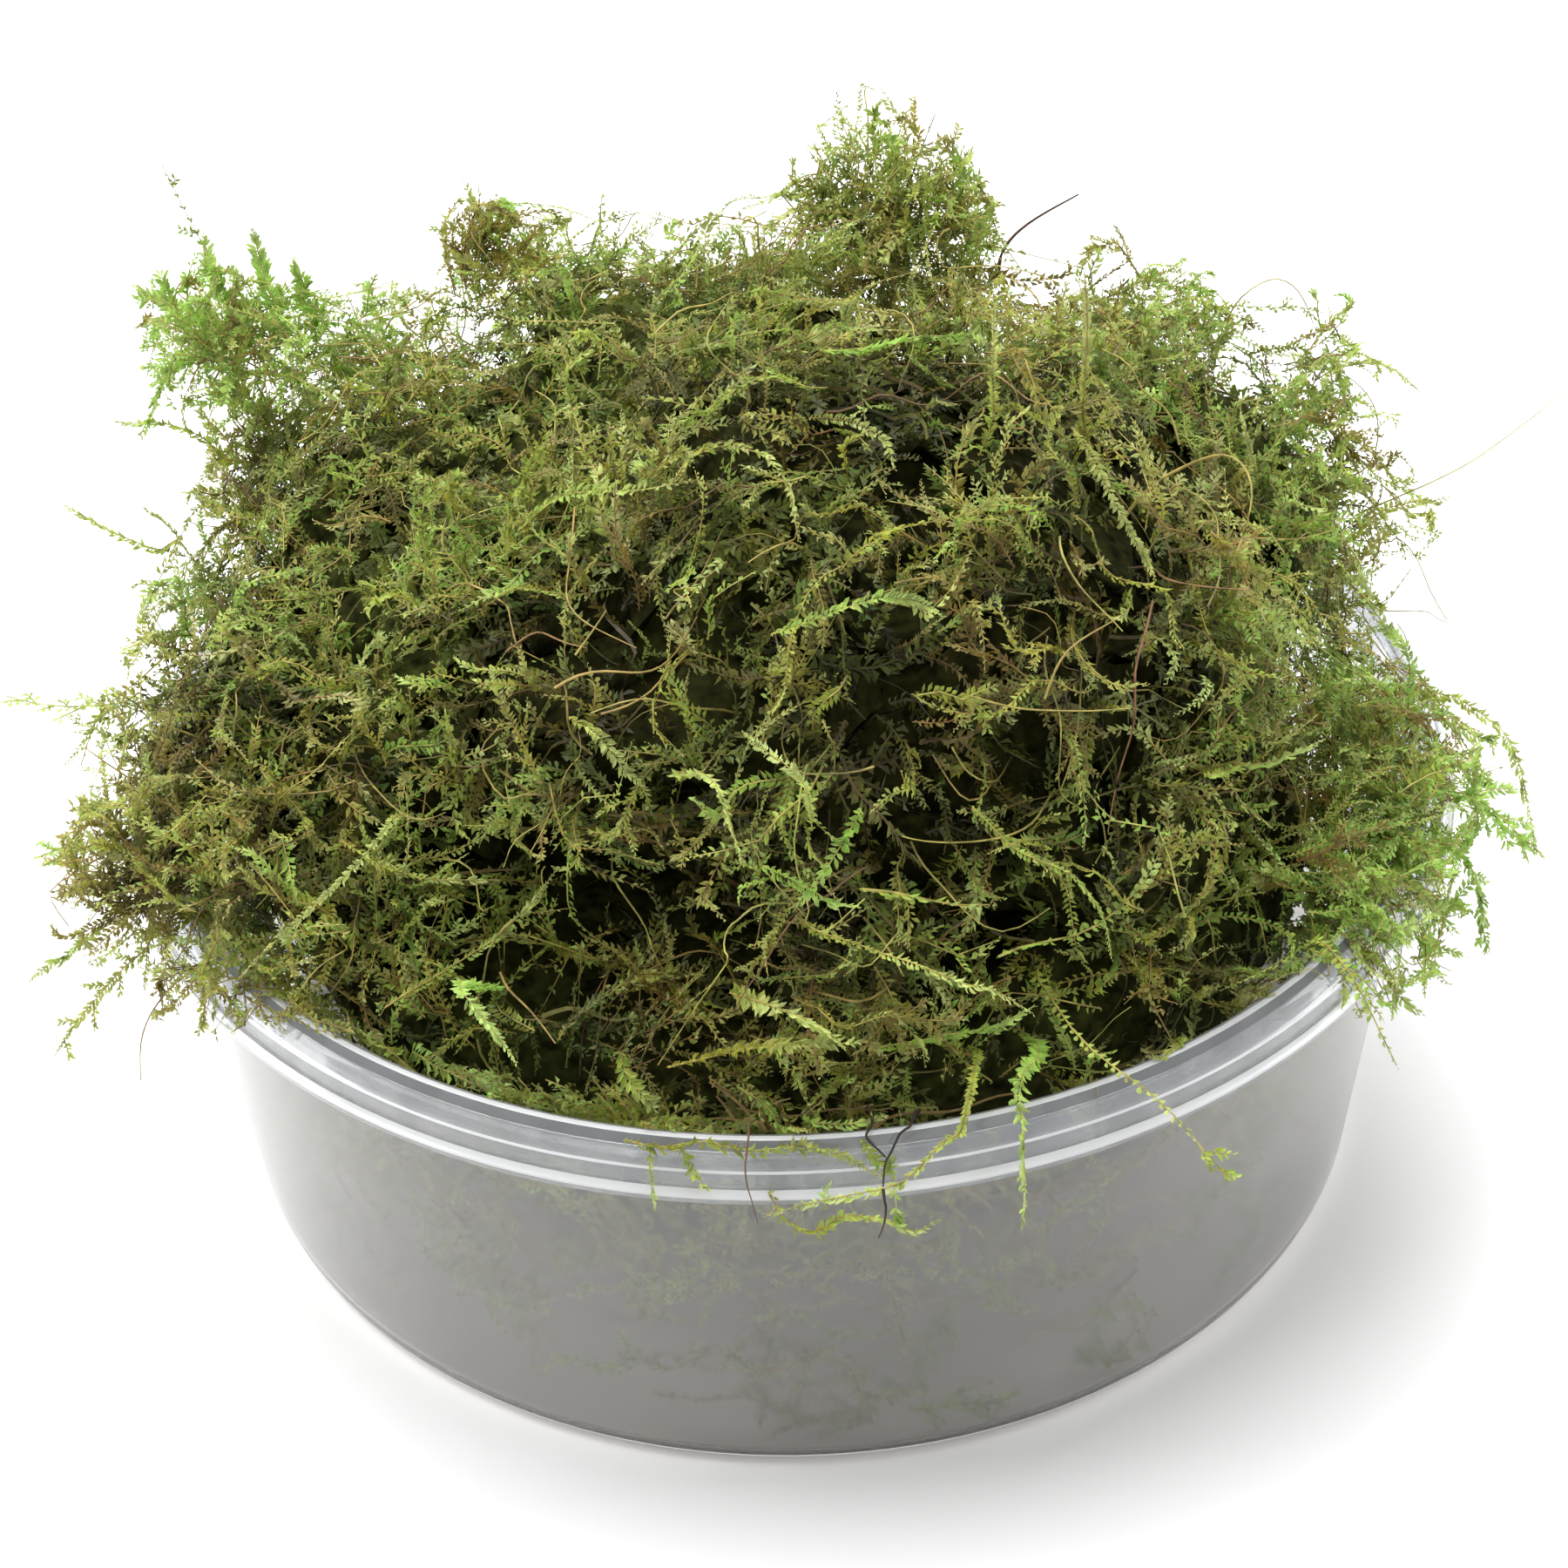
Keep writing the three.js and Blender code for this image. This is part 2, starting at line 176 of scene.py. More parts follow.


# Every strand carries three numbers: its own tone, how young it is, and how deep it lies, which sets how much
# painted shade it gets.
def growthTintAndShadeGroup(values):
    group, given, out = newGroup(
        "growthTintAndShade",
        [
            ("Old", "Color", (0.1, 0.07, 0.03, 1)),
            ("Middle", "Color", (0.2, 0.22, 0.05, 1)),
            ("Young", "Color", (0.25, 0.4, 0.08, 1)),
            ("Pale", "Color", (0.4, 0.45, 0.25, 1)),
            ("Shade", "Float", 0.5),
            ("Mottle", "Float", 0.3),
        ],
        [("Color", "Color")],
    )
    asked = given.outputs

    def combine(operation, first, second, third=None, clamp=False):
        inputs = {0: first, 1: second} if third is None else {0: first, 1: second, 2: third}
        return addNode(group, "ShaderNodeMath", inputs, operation=operation, use_clamp=clamp).outputs[0]

    def mix(factor, first, second):
        inputs = {"Factor": factor, "A": first, "B": second}
        return addNode(group, "ShaderNodeMix", inputs, data_type="RGBA").outputs["Result"]

    def spread(value, **limits):
        inputs = {label.replace("_", " ").title(): limit for label, limit in limits.items()}
        return addNode(group, "ShaderNodeMapRange", {"Value": value, **inputs}).outputs["Result"]

    growth = addNode(group, "ShaderNodeAttribute", attribute_name="growth")
    parts = addNode(group, "ShaderNodeSeparateColor", {"Color": growth.outputs["Color"]}).outputs
    place = addNode(group, "ShaderNodeTexCoord").outputs["Object"]
    mottle = addNode(group, "ShaderNodeTexNoise", {"Vector": place, "Scale": values["mottleScale"]})
    patches = addNode(group, "ShaderNodeTexNoise", {"Vector": place, "Scale": values["patchScale"]})
    shift = values["patchShift"]
    patchShift = combine("MULTIPLY_ADD", patches.outputs["Fac"], shift, -shift / 2)
    tone = combine("ADD", parts["Red"], patchShift, clamp=True)
    base = mix(spread(tone, from_max=values["oldBelow"]), asked["Old"], asked["Middle"])
    low, high = values["youngAbove"]
    fresh = mix(spread(tone, from_min=low, from_max=high), base, asked["Young"])
    # the youngest ends are palest
    end = combine("MULTIPLY", combine("POWER", parts["Green"], values["endPower"]), values["endShare"])
    tipped = mix(end, fresh, asked["Pale"])
    # painted shade: darker the deeper it lies, and mottled all over
    openShare = combine("SUBTRACT", 1.0, combine("MULTIPLY", parts["Blue"], asked["Shade"]))
    low, high = values["speckRange"]
    speck = spread(mottle.outputs["Fac"], from_min=low, from_max=high, to_min=asked["Mottle"],
                   to_max=values["speckLight"])
    light = combine("MULTIPLY", combine("POWER", openShare, values["depthPower"]), speck)
    dim = addNode(group, "ShaderNodeVectorMath", {0: tipped, "Scale": light}, operation="SCALE")
    fillInputs(group, out, {"Color": dim.outputs[0]})
    return group


# Fine relief, shared by the leaves, the dark core of painted shade, the twigs and the tub.
def fineReliefGroup():
    group, given, out = newGroup(
        "fineRelief",
        [("Scale", "Float", 500.0), ("Stretch", "Vector", (1.0, 1.0, 1.0))],
        [("Height", "Float")],
    )
    place = addNode(group, "ShaderNodeTexCoord").outputs["Object"]
    stretched = addNode(group, "ShaderNodeVectorMath", {0: place, 1: given.outputs["Stretch"]},
                        operation="MULTIPLY").outputs[0]
    ripples = addNode(group, "ShaderNodeTexNoise",
                      {"Detail": 3, "Vector": stretched, "Scale": given.outputs["Scale"]})
    fillInputs(group, out, {"Height": ripples.outputs["Fac"]})
    return group


materialValues = {
    "leaf": {
        "Old": (0.27, 0.185, 0.04, 1), "Middle": (0.43, 0.435, 0.062, 1), "Young": (0.38, 0.63, 0.11, 1),
        "Pale": (0.68, 0.78, 0.32, 1), "Shade": 0.74, "Mottle": 0.6, "gloss": 0.33,
        "roughness": 0.3, "relief": 1800.0, "bump": 0.3, "through": 0.42,
    },
    "stem": {
        "Old": (0.2, 0.09, 0.035, 1), "Middle": (0.38, 0.28, 0.07, 1), "Young": (0.46, 0.45, 0.11, 1),
        "Pale": (0.56, 0.53, 0.2, 1), "Shade": 0.8, "Mottle": 0.5, "gloss": 0.4,
        "roughness": 0.45, "relief": 2600.0, "bump": 0.3, "through": 0.0,
    },
    "twig": {
        "Old": (0.02, 0.012, 0.008, 1), "Middle": (0.07, 0.03, 0.018, 1), "Young": (0.13, 0.06, 0.03, 1),
        "Pale": (0.2, 0.11, 0.05, 1), "Shade": 0.4, "Mottle": 0.5, "gloss": 0.4,
        "roughness": 0.6, "relief": 3000.0, "bump": 0.5, "through": 0.0,
    },
    # near-black colours of the core: painted shade for the inside of the heap
    "core": {
        "Old": (0.05, 0.038, 0.012, 1), "Middle": (0.055, 0.058, 0.014, 1), "Young": (0.15, 0.17, 0.045, 1),
        "Pale": (0.15, 0.17, 0.045, 1), "Shade": 0.4, "Mottle": 0.2, "gloss": 0.05,
        "roughness": 0.9, "relief": 700.0, "bump": 1.0, "through": 0.0,
    },
}


def newMaterial(name, color=None):
    material = bpy.data.materials.new(name)
    material.use_nodes = True
    shader = material.node_tree.nodes["Principled BSDF"]
    if color:
        shader.inputs["Base Color"].default_value = color
    return material, material.node_tree, shader


def bumpNode(tree, height, strength, distance):
    inputs = {"Strength": strength, "Distance": distance, "Height": height}
    return addNode(tree, "ShaderNodeBump", inputs).outputs["Normal"]


def mossMaterial(name, values, tint, relief):
    material, tree, shader = newMaterial(name)
    labels = ("Old", "Middle", "Young", "Pale", "Shade", "Mottle")
    tinted = addNode(tree, "ShaderNodeGroup", {k: values[k] for k in labels}, node_tree=tint).outputs["Color"]
    rough = addNode(tree, "ShaderNodeGroup", {"Scale": values["relief"]}, node_tree=relief)
    fillInputs(tree, shader, {
        "Base Color": tinted,
        "Normal": bumpNode(tree, rough.outputs["Height"], values["bump"], 0.0002),
        "Roughness": values["roughness"],
        "Specular IOR Level": values["gloss"],
    })
    if values["through"]:
        # thin leaves let light through
        thin = addNode(tree, "ShaderNodeBsdfTranslucent", {"Color": tinted})
        blend = addNode(tree, "ShaderNodeMixShader",
                        {"Fac": values["through"], 1: shader.outputs[0], 2: thin.outputs[0]})
        fillInputs(tree, tree.nodes["Material Output"], {"Surface": blend.outputs[0]})
    return material


# The tub: a thin frosted wall turned about its axis, with a clear stepped rim.
tubValues = {
    "lipRadius": 48.05,
    "lipWidth": 0.75,
    "wallTopRadius": 47.6,
    "baseRadius": 44.6,
    "wall": 0.7,
    "cornerRadius": 1.6,
    "rimDepth": 3.7,
    "around": 160,
    "ior": 1.49,
}
plasticValues = {
    # relief counts its ripples to a metre, and milk is how much darker its milkiness gets in places
    "frosted": {"color": (0.9, 0.885, 0.87, 1), "roughness": 0.18, "transmission": 0.945,
                "relief": 22.0, "bump": 0.0, "milk": 0.9, "sheen": 0.24},
    "clear": {"color": (0.82, 0.84, 0.87, 1), "roughness": 0.06, "transmission": 0.86,
              "relief": 260.0, "bump": 0.05, "milk": 0.8, "sheen": 0.0},
    # bright is whiter and milkier than the clear plastic: a painted highlight for the rim's edges
    "bright": {"color": (0.97, 0.98, 1.0, 1), "roughness": 0.1, "transmission": 0.5,
               "relief": 90.0, "bump": 0.03, "milk": 0.9, "sheen": 0.0},
    "base": {"color": (0.97, 0.94, 0.9, 1), "roughness": 0.25, "transmission": 0.1,
             "relief": 60.0, "bump": 0.02, "milk": 0.92, "sheen": 0.0},
}
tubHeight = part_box("tub")[1].z / mm
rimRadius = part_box("tub")[1].x / mm
skirt = tubHeight - tubValues["rimDepth"]  # height of the rim's lower edge
beadHeight = skirt + 0.7


def plasticMaterial(name, values, relief):
    material, tree, shader = newMaterial(name)
    rough = addNode(tree, "ShaderNodeGroup", {"Scale": values["relief"], "Stretch": (1.0, 1.0, 0.35)},
                    node_tree=relief)
    height = rough.outputs["Height"]
    roughness = values["roughness"]
    cloud = addNode(tree, "ShaderNodeMapRange",
                    {"To Min": roughness * 0.85, "To Max": roughness * 1.15, "Value": height})
    streak = addNode(tree, "ShaderNodeMapRange", {"From Min": 0.35, "From Max": 0.65, "Value": height})
    milky = tuple(c * values["milk"] for c in values["color"][:3]) + (1,)
    milk = addNode(tree, "ShaderNodeMix",
                   {"A": values["color"], "B": milky, "Factor": streak.outputs["Result"]}, data_type="RGBA")
    fillInputs(tree, shader, {
        "Base Color": milk.outputs["Result"],
        "Roughness": cloud.outputs["Result"],
        "Transmission Weight": values["transmission"],
        "IOR": tubValues["ior"],
        "Sheen Weight": values["sheen"],
        "Sheen Roughness": 0.4,
    })
    if values["bump"]:
        fillInputs(tree, shader, {"Normal": bumpNode(tree, height, values["bump"], 0.0001)})
    return material


def arcPoints(centre, radius, start, end, count):
    angles = np.radians(np.linspace(start, end, count))
    return [(centre[0] + radius * math.cos(a), centre[1] + radius * math.sin(a)) for a in angles]


def roundedLine(corners, radius, count=4):
    # a polyline with its inner corners rounded off
    points = [corners[0]]
    for before, corner, after in zip(corners, corners[1:], corners[2:]):
        a, b, c = (np.array(p, float) for p in (before, corner, after))
        cut = min(radius, 0.45 * np.linalg.norm(a - b), 0.45 * np.linalg.norm(c - b))
        start = b + (a - b) / np.linalg.norm(a - b) * cut
        end = b + (c - b) / np.linalg.norm(c - b) * cut
        for t in np.linspace(0, 1, count):
            points.append(tuple((1 - t) ** 2 * start + 2 * t * (1 - t) * b + t**2 * end))
    points.append(corners[-1])
    return points


def innerWallRadius(z):
    # the inside of the wall at a height, above the rounded bottom corner
    share = np.clip((z - tubValues["cornerRadius"]) / (skirt - tubValues["cornerRadius"]), 0, 1)
    outer = tubValues["baseRadius"] + share * (tubValues["wallTopRadius"] - tubValues["baseRadius"])
    return outer - tubValues["wall"]


def tubSection():
    v = tubValues
    corner = (v["baseRadius"] - v["cornerRadius"], v["cornerRadius"])
    outside = [(0.0, 0.0)]
    outside += arcPoints(corner, v["cornerRadius"], -90, 0, 9)
    rim = [
        # up inside the hollow of the rim, and back down inside its skirt
        (v["wallTopRadius"], skirt),
        (v["wallTopRadius"] + 0.25, tubHeight - 1.2),
        (rimRadius - 1.6, skirt + 1.8),
        (rimRadius - 1.3, skirt + 0.9),
        (rimRadius - 0.65, skirt + 0.55),
        (rimRadius - 0.55, skirt),
        # the skirt's edge, the bead, the steps and the lip
        (rimRadius - 0.3, skirt),
        (rimRadius, beadHeight),
        (rimRadius - 0.55, skirt + 1.15),
        (rimRadius - 0.85, skirt + 2.1),
        (rimRadius - 1.05, skirt + 2.3),
        (v["lipRadius"] + 0.6, tubHeight - 0.85),
        (v["lipRadius"] + 0.35, tubHeight - 0.65),
        (v["lipRadius"], tubHeight),
        (v["lipRadius"] - 0.3, tubHeight),
        (v["lipRadius"] - v["lipWidth"], tubHeight - 0.15),
        (v["wallTopRadius"] - v["wall"], skirt),
    ]
    rounded = roundedLine([outside[-1]] + rim + [(v["baseRadius"] - v["wall"], v["cornerRadius"])], 0.16)
    inside = arcPoints(corner, v["cornerRadius"] - v["wall"], 0, -90, 6)
    return outside[:-1] + rounded[:-1] + inside + [(0.0, v["wall"])]


def plasticSlot(radius, z):
    # the bead, a step and the lip's top get the whiter, milkier bright plastic, a painted highlight for the
    # lines that thick edges catch, and the bands between them are clear
    if z < tubValues["wall"] + 0.2:
        return 3
    if z < skirt - 0.2:
        return 0
    bead = radius > rimRadius - 0.55 and skirt + 0.6 < z < skirt + 1.1
    step = rimRadius - 1.02 < radius < rimRadius - 0.88 and z > skirt + 2.05
    lipTop = z > tubHeight - 0.05
    return 2 if bead or step or lipTop else 1


def addTub(plastics):
    section = tubSection()
    around = tubValues["around"]
    bm = bmesh.new()
    rings = []
    for radius, z in section:
        if radius < 1e-6:
            rings.append([bm.verts.new((0, 0, z * mm))])
            continue
        ring = []
        for k in range(around):
            a = 2 * math.pi * k / around
            ring.append(bm.verts.new((radius * mm * math.cos(a), radius * mm * math.sin(a), z * mm)))
        rings.append(ring)
    for (lower, upper), (a, b) in zip(zip(rings, rings[1:]), zip(section, section[1:])):
        slot = plasticSlot((a[0] + b[0]) / 2, (a[1] + b[1]) / 2)
        for k in range(around):
            n = (k + 1) % around
            if len(lower) == 1:
                face = bm.faces.new((lower[0], upper[n], upper[k]))
            elif len(upper) == 1:
                face = bm.faces.new((lower[k], lower[n], upper[0]))
            else:
                face = bm.faces.new((lower[k], lower[n], upper[n], upper[k]))
            face.smooth = True
            face.material_index = slot
    bmesh.ops.recalc_face_normals(bm, faces=bm.faces)
    mesh = bpy.data.meshes.new("tub_shell")
    bm.to_mesh(mesh)
    bm.free()
    for plastic in plastics:
        mesh.materials.append(plastic)
    shell = bpy.data.objects.new("tub_shell", mesh)
    bpy.context.scene.collection.objects.link(shell)
    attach(shell, "root")
    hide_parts("tub")
    print("tub:", len(mesh.polygons), "faces")


# Growing moss. A growth is the joined mesh of one piece while it is being made.
leafSlot, stemSlot, twigSlot, coreSlot = range(4)

shootKinds = {
    # leaf length and width, gap between leaf pairs, stem radius, how far leaves stand out in degrees
    "feather": {"leaf": 0.8, "width": 0.34, "gap": 0.36, "stem": 0.08, "spread": 54},
    "frilly": {"leaf": 0.76, "width": 0.3, "gap": 0.25, "stem": 0.07, "spread": 52},
    "slim": {"leaf": 0.6, "width": 0.27, "gap": 0.3, "stem": 0.075, "spread": 42},
    "sparse": {"leaf": 0.64, "width": 0.33, "gap": 0.6, "stem": 0.095, "spread": 60},
    "bare": {"leaf": 0.0, "width": 0.0, "gap": 0.9, "stem": 0.11, "spread": 0},
    "thread": {"leaf": 0.0, "width": 0.0, "gap": 0.9, "stem": 0.065, "spread": 0},
}
coarse, plain, fine = range(3)  # how finely a strand is made: 1, 2 or 4 triangles to a leaf


def newGrowth():
    return {"points": [], "corners": [], "growth": [], "slots": [], "count": 0, "triangles": 0}


def addPatch(growth, points, corners, numbers, slot):
    growth["points"].append(points)
    growth["corners"].append(corners + growth["count"])
    growth["growth"].append(numbers)
    growth["slots"].append(np.full(len(corners), slot))
    growth["count"] += len(points)
    growth["triangles"] += len(corners)


def growthObject(name, growth, materials, replaced):
    points = keepOffTub(np.concatenate(growth["points"]), 0.08) * mm
    corners = np.concatenate(growth["corners"])
    numbers = np.concatenate(growth["growth"])
    mesh = bpy.data.meshes.new(name)
    mesh.vertices.add(len(points))
    mesh.vertices.foreach_set("co", points.astype(np.float32).ravel())
    mesh.loops.add(corners.size)
    mesh.loops.foreach_set("vertex_index", corners.astype(np.int32).ravel())
    mesh.polygons.add(len(corners))
    mesh.polygons.foreach_set("loop_start", np.arange(0, corners.size, 3, dtype=np.int32))
    mesh.polygons.foreach_set("material_index", np.concatenate(growth["slots"]).astype(np.int32))
    mesh.polygons.foreach_set("use_smooth", np.ones(len(corners), bool))
    attribute = mesh.attributes.new("growth", "FLOAT_COLOR", "POINT")
    attribute.data.foreach_set("color", numbers.astype(np.float32).ravel())
    mesh.update(calc_edges=True)
    for material in materials:
        mesh.materials.append(material)
    piece = bpy.data.objects.new(name, mesh)
    bpy.context.scene.collection.objects.link(piece)
    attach(piece, "root")
    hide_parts(*replaced)
    print(name + ":", len(corners), "triangles")
    return piece


def unit(v):
    return v / np.maximum(np.linalg.norm(v, axis=-1, keepdims=True), 1e-9)


def strandFrames(path, side, twist):
    # tangent, side and normal at each station, with the side turning slowly by twist
    tangent = unit(np.gradient(path, axis=0))
    across = side - tangent * (tangent @ side)[:, None]
    across = unit(across + 1e-4)
    normal = np.cross(tangent, across)
    angle = np.linspace(0, twist, len(path))[:, None]
    turned = across * np.cos(angle) + normal * np.sin(angle)
    return tangent, turned, np.cross(tangent, turned)


def growthNumbers(count, tone, young, depth):
    numbers = np.ones((count, 4))
    numbers[:, 0] = tone
    numbers[:, 1] = young
    numbers[:, 2] = depth
    return numbers


def addStem(growth, path, radius, taper, tone, depth, slot=stemSlot, sides=3):
    tangent, across, normal = strandFrames(path, np.array([0.31, 0.52, 0.8]), 0.0)
    rings = len(path)
    widths = radius * np.linspace(1, taper, rings)
    angles = 2 * math.pi * np.arange(sides) / sides
    ring = np.cos(angles)[None, :, None] * across[:, None] + np.sin(angles)[None, :, None] * normal[:, None]
    points = (path[:, None] + ring * widths[:, None, None]).reshape(-1, 3)
    # two sides make a flat ribbon, which is one strip of faces
    strips = np.arange(1 if sides == 2 else sides)
    low = (np.arange(rings - 1) * sides)[:, None] + strips[None]
    lowNext = (np.arange(rings - 1) * sides)[:, None] + (strips[None] + 1) % sides
    first = np.stack([low, lowNext, lowNext + sides], -1).reshape(-1, 3)
    second = np.stack([low, lowNext + sides, low + sides], -1).reshape(-1, 3)
    young = np.repeat(np.linspace(0, 0.5, rings), sides)
    numbers = growthNumbers(len(points), tone, young, np.repeat(depth, sides))
    addPatch(growth, points, np.concatenate([first, second]), numbers, slot)


leafValues = {
    "missing": 0.06,
    "atRoot": (0.5, 4.0),  # size of the first leaves, and how fast they reach full size
    "atTip": (0.35, 3.2),  # the same backwards from the tip
    "length": (0.7, 1.2),
    "width": (0.75, 1.2),
    "closing": 0.45,  # how far they close up towards the tip
    "lift": (0.14, 0.3),
    "cup": 0.18,  # how hollow a leaf is
    "toneRange": 0.32,
}
leafFaces = {
    coarse: [[0, 1, 2]],
    plain: [[0, 1, 2], [0, 2, 3]],
    fine: [[0, 1, 2], [0, 2, 3], [0, 3, 4], [0, 4, 5]],
}


def leafOutline(base, tip, run, wide, cup, detail):
    # corners of each leaf, from its base round to its base again
    if detail == fine:
        low = base + run * 0.34 + cup
        high = base + run * 0.7 + cup * 0.7
        return [base, low + wide, high + wide * 0.78, tip, high - wide * 0.78, low - wide]
    if detail == plain:
        middle = base + run * 0.44 + cup
        return [base, middle + wide, tip, middle - wide]
    return [base, base + run * 0.6 + wide * 1.5, tip - wide * 0.6]


def addLeaves(growth, path, side, twist, kind, size, tone, depth, rng, detail, pale):
    # two rows of leaves, one on each side, closing up towards the tip
    v = leafValues
    tangent, across, normal = strandFrames(path, side, twist)
    count = len(path)
    along = np.linspace(0, 1, count)
    (rootSize, rootGrowth), (tipSize, tipGrowth) = v["atRoot"], v["atTip"]
    grow = np.minimum(1, rootSize + along * rootGrowth) * np.minimum(1, tipSize + (1 - along) * tipGrowth)
    grow = grow * (rng.uniform(0, 1, count) > v["missing"])
    points = []
    youngs = []
    for hand in (1, -1):
        length = (kind["leaf"] * size * grow * rng.uniform(*v["length"], count))[:, None]
        half = (kind["width"] * size * grow * rng.uniform(*v["width"], count) / 2)[:, None]
        angle = kind["spread"] * (1 - v["closing"] * along**2) + rng.normal(0, 12, count)
        spread = np.radians(angle)[:, None]
        lift = rng.normal(*v["lift"], count)[:, None]
        heading = unit(np.cos(spread) * tangent + hand * np.sin(spread) * across + lift * normal)
        flat = unit(np.cross(heading, normal + across * rng.normal(0, 0.35, count)[:, None]))
        base = path + tangent * (0.22 * kind["gap"] * hand)
        cup = normal * (v["cup"] * length)
        tip = base + heading * length - cup * 0.4
        ring = leafOutline(base, tip, heading * length, flat * half, cup, detail)
        points.append(np.stack(ring, 1))
        youngs.append(np.broadcast_to(along[:, None], (count, len(ring))))
    points = np.concatenate(points)
    leaves, ringSize = points.shape[:2]
    start = (np.arange(leaves) * ringSize)[:, None, None]
    corners = (start + np.array(leafFaces[detail])[None]).reshape(-1, 3)
    young = np.minimum(1, np.concatenate(youngs).ravel() + pale)
    random = np.repeat(rng.uniform(0, 1, leaves), ringSize)
    tones = np.clip(tone + (random - 0.5) * v["toneRange"], 0, 1)
    depths = np.repeat(np.tile(depth, 2), ringSize)
    numbers = growthNumbers(leaves * ringSize, tones, young, depths)
    addPatch(growth, points.reshape(-1, 3), corners, numbers, leafSlot)


def arcPath(start, heading, bend, radius, length, gap, wave, rng):
    # an arc that leaves start along heading and curves towards bend, and wanders to both sides of it
    heading = unit(heading)
    bend = unit(bend - heading * (bend @ heading))
    s = np.linspace(0, length, max(4, int(length / gap) + 1))
    turn = s / radius
    third = np.cross(heading, bend)
    calm = np.minimum(1, s / 3)
    sway = wave * calm * np.sin(s * rng.uniform(0.3, 0.9) + rng.uniform(0, 6.3))
    wobble = wave * 0.6 * calm * np.sin(s * rng.uniform(0.5, 1.3) + rng.uniform(0, 6.3))
    return (start + radius * (np.sin(turn)[:, None] * heading + (1 - np.cos(turn))[:, None] * bend)
            + sway[:, None] * third + wobble[:, None] * bend)


def keepOffTub(points, clear=0.3):
    # moss lies on the rim's slope or on either side of the wall, never in the plastic
    radius = np.hypot(points[:, 0], points[:, 1])
    z = points[:, 2]
    inner = innerWallRadius(z) - clear
    outer = rimRadius + clear
    slope = np.interp(radius, [tubValues["lipRadius"], rimRadius], [tubHeight, beadHeight]) + clear
    inBand = (radius > inner) & (radius < outer) & (z < slope)
    raised = inBand & (z > skirt)
    points[raised, 2] = slope[raised]
    pushed = inBand & ~raised
    wanted = np.where(radius < (inner + rimRadius) / 2, inner, outer)
    points[:, :2] *= np.where(pushed, wanted / np.maximum(radius, 1e-6), 1.0)[:, None]
    within = np.hypot(points[:, 0], points[:, 1]) < outer
    points[within, 2] = np.maximum(points[within, 2], tubValues["wall"] + clear)
    return points


def crossesWall(path):
    # whether a strand passes through the wall instead of over the rim
    outside = np.hypot(path[:, 0], path[:, 1]) > (innerWallRadius(path[:, 2]) + rimRadius) / 2
    low = path[:, 2] < tubHeight - 1.0
    for step in (1, 2, 3):
        if np.any((outside[step:] != outside[:-step]) & low[step:] & low[:-step]):
            return True
    return False


def smoothPath(path, times=1):
    for _ in range(times):
        path[1:-1] = (path[:-2] + 2 * path[1:-1] + path[2:]) / 4
    return path


def nodeTriangles(name):
    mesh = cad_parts[name].data
    mesh.calc_loop_triangles()
    points = np.empty(len(mesh.vertices) * 3)
    mesh.vertices.foreach_get("co", points)
    corners = np.empty(len(mesh.loop_triangles) * 3, int)
    mesh.loop_triangles.foreach_get("vertices", corners)
    return points.reshape(-1, 3)[corners.reshape(-1, 3)] / mm


openGap = 2.5  # skin that has this much air over it is open to the eye
growthShare = 1.0


def searchTree(triangles):
    corners = np.arange(len(triangles) * 3).reshape(-1, 3)
    return BVHTree.FromPolygons(triangles.reshape(-1, 3).tolist(), corners.tolist())


def outerSkin(names, clear):
    # the faces of the heap that nothing covers, as a search tree
    triangles = np.concatenate([nodeTriangles(n) for n in names])
    whole = searchTree(triangles)
    outs = unit(np.cross(triangles[:, 1] - triangles[:, 0], triangles[:, 2] - triangles[:, 0]))
    middles = triangles.mean(axis=1)
    seen = [whole.ray_cast(Vector(m + o * 0.15), Vector(o), clear)[0] is None for m, o in zip(middles, outs)]
    return whole, searchTree(triangles[np.array(seen)])


# The clumps of the heap, and below them what is packed in the tub.
# triangles is how much moss it gets, deep how far under the solid's skin its strands may start, and core how
# far in its dark core lies, a sheet of painted shade. shade is how dark the painted shade of its depths is,
# and coreTone how light the core is; the back and right clumps get less shade, lighter cores and lighter
# green, as painted light on the back and sides of the heap.
# topShare and underShare weigh the upward and downward faces of the skin.
clumpValues = {
    "front_clump": {"triangles": 195000, "deep": 6.0, "core": 6.2, "coreTone": 0.4,
                    "green": 0.5, "fineShare": 0.1, "shade": 0.88, "seed": 101},
    "back_clump": {"triangles": 112000, "deep": 5.5, "core": 6.2, "coreTone": 0.9,
                   "green": 0.57, "fineShare": 0.0, "shade": 0.6, "seed": 102},
    "back_right_clump": {"triangles": 103000, "deep": 5.5, "core": 6.6, "coreTone": 0.9,
                         "green": 0.66, "fineShare": 0.0, "shade": 0.54, "seed": 103},
    "back_left_clump": {"triangles": 95000, "deep": 5.5, "core": 6.6, "coreTone": 0.9,
                        "green": 0.56, "fineShare": 0.0, "shade": 0.64, "seed": 104},
    "left_clump": {"triangles": 103000, "deep": 6.0, "core": 7.0, "coreTone": 0.45,
                   "green": 0.44, "fineShare": 0.1, "shade": 0.93, "seed": 105},
    "right_clump": {"triangles": 72000, "deep": 7.0, "core": 0.0,
                    "green": 0.88, "fineShare": 0.15, "shade": 0.38, "seed": 106},
    "peak_clump": {"triangles": 48000, "deep": 4.5, "core": 0.0,
                   "green": 0.5, "fineShare": 0.0, "shade": 0.55, "seed": 107},
    "left_spur": {"triangles": 22000, "deep": 3.5, "core": 0.0,
                  "green": 0.8, "fineShare": 0.0, "shade": 0.4, "seed": 108},
    "top_tuft": {"triangles": 9000, "deep": 2.5, "core": 0.0,
                 "green": 0.35, "fineShare": 0.0, "shade": 0.75, "seed": 109},
}
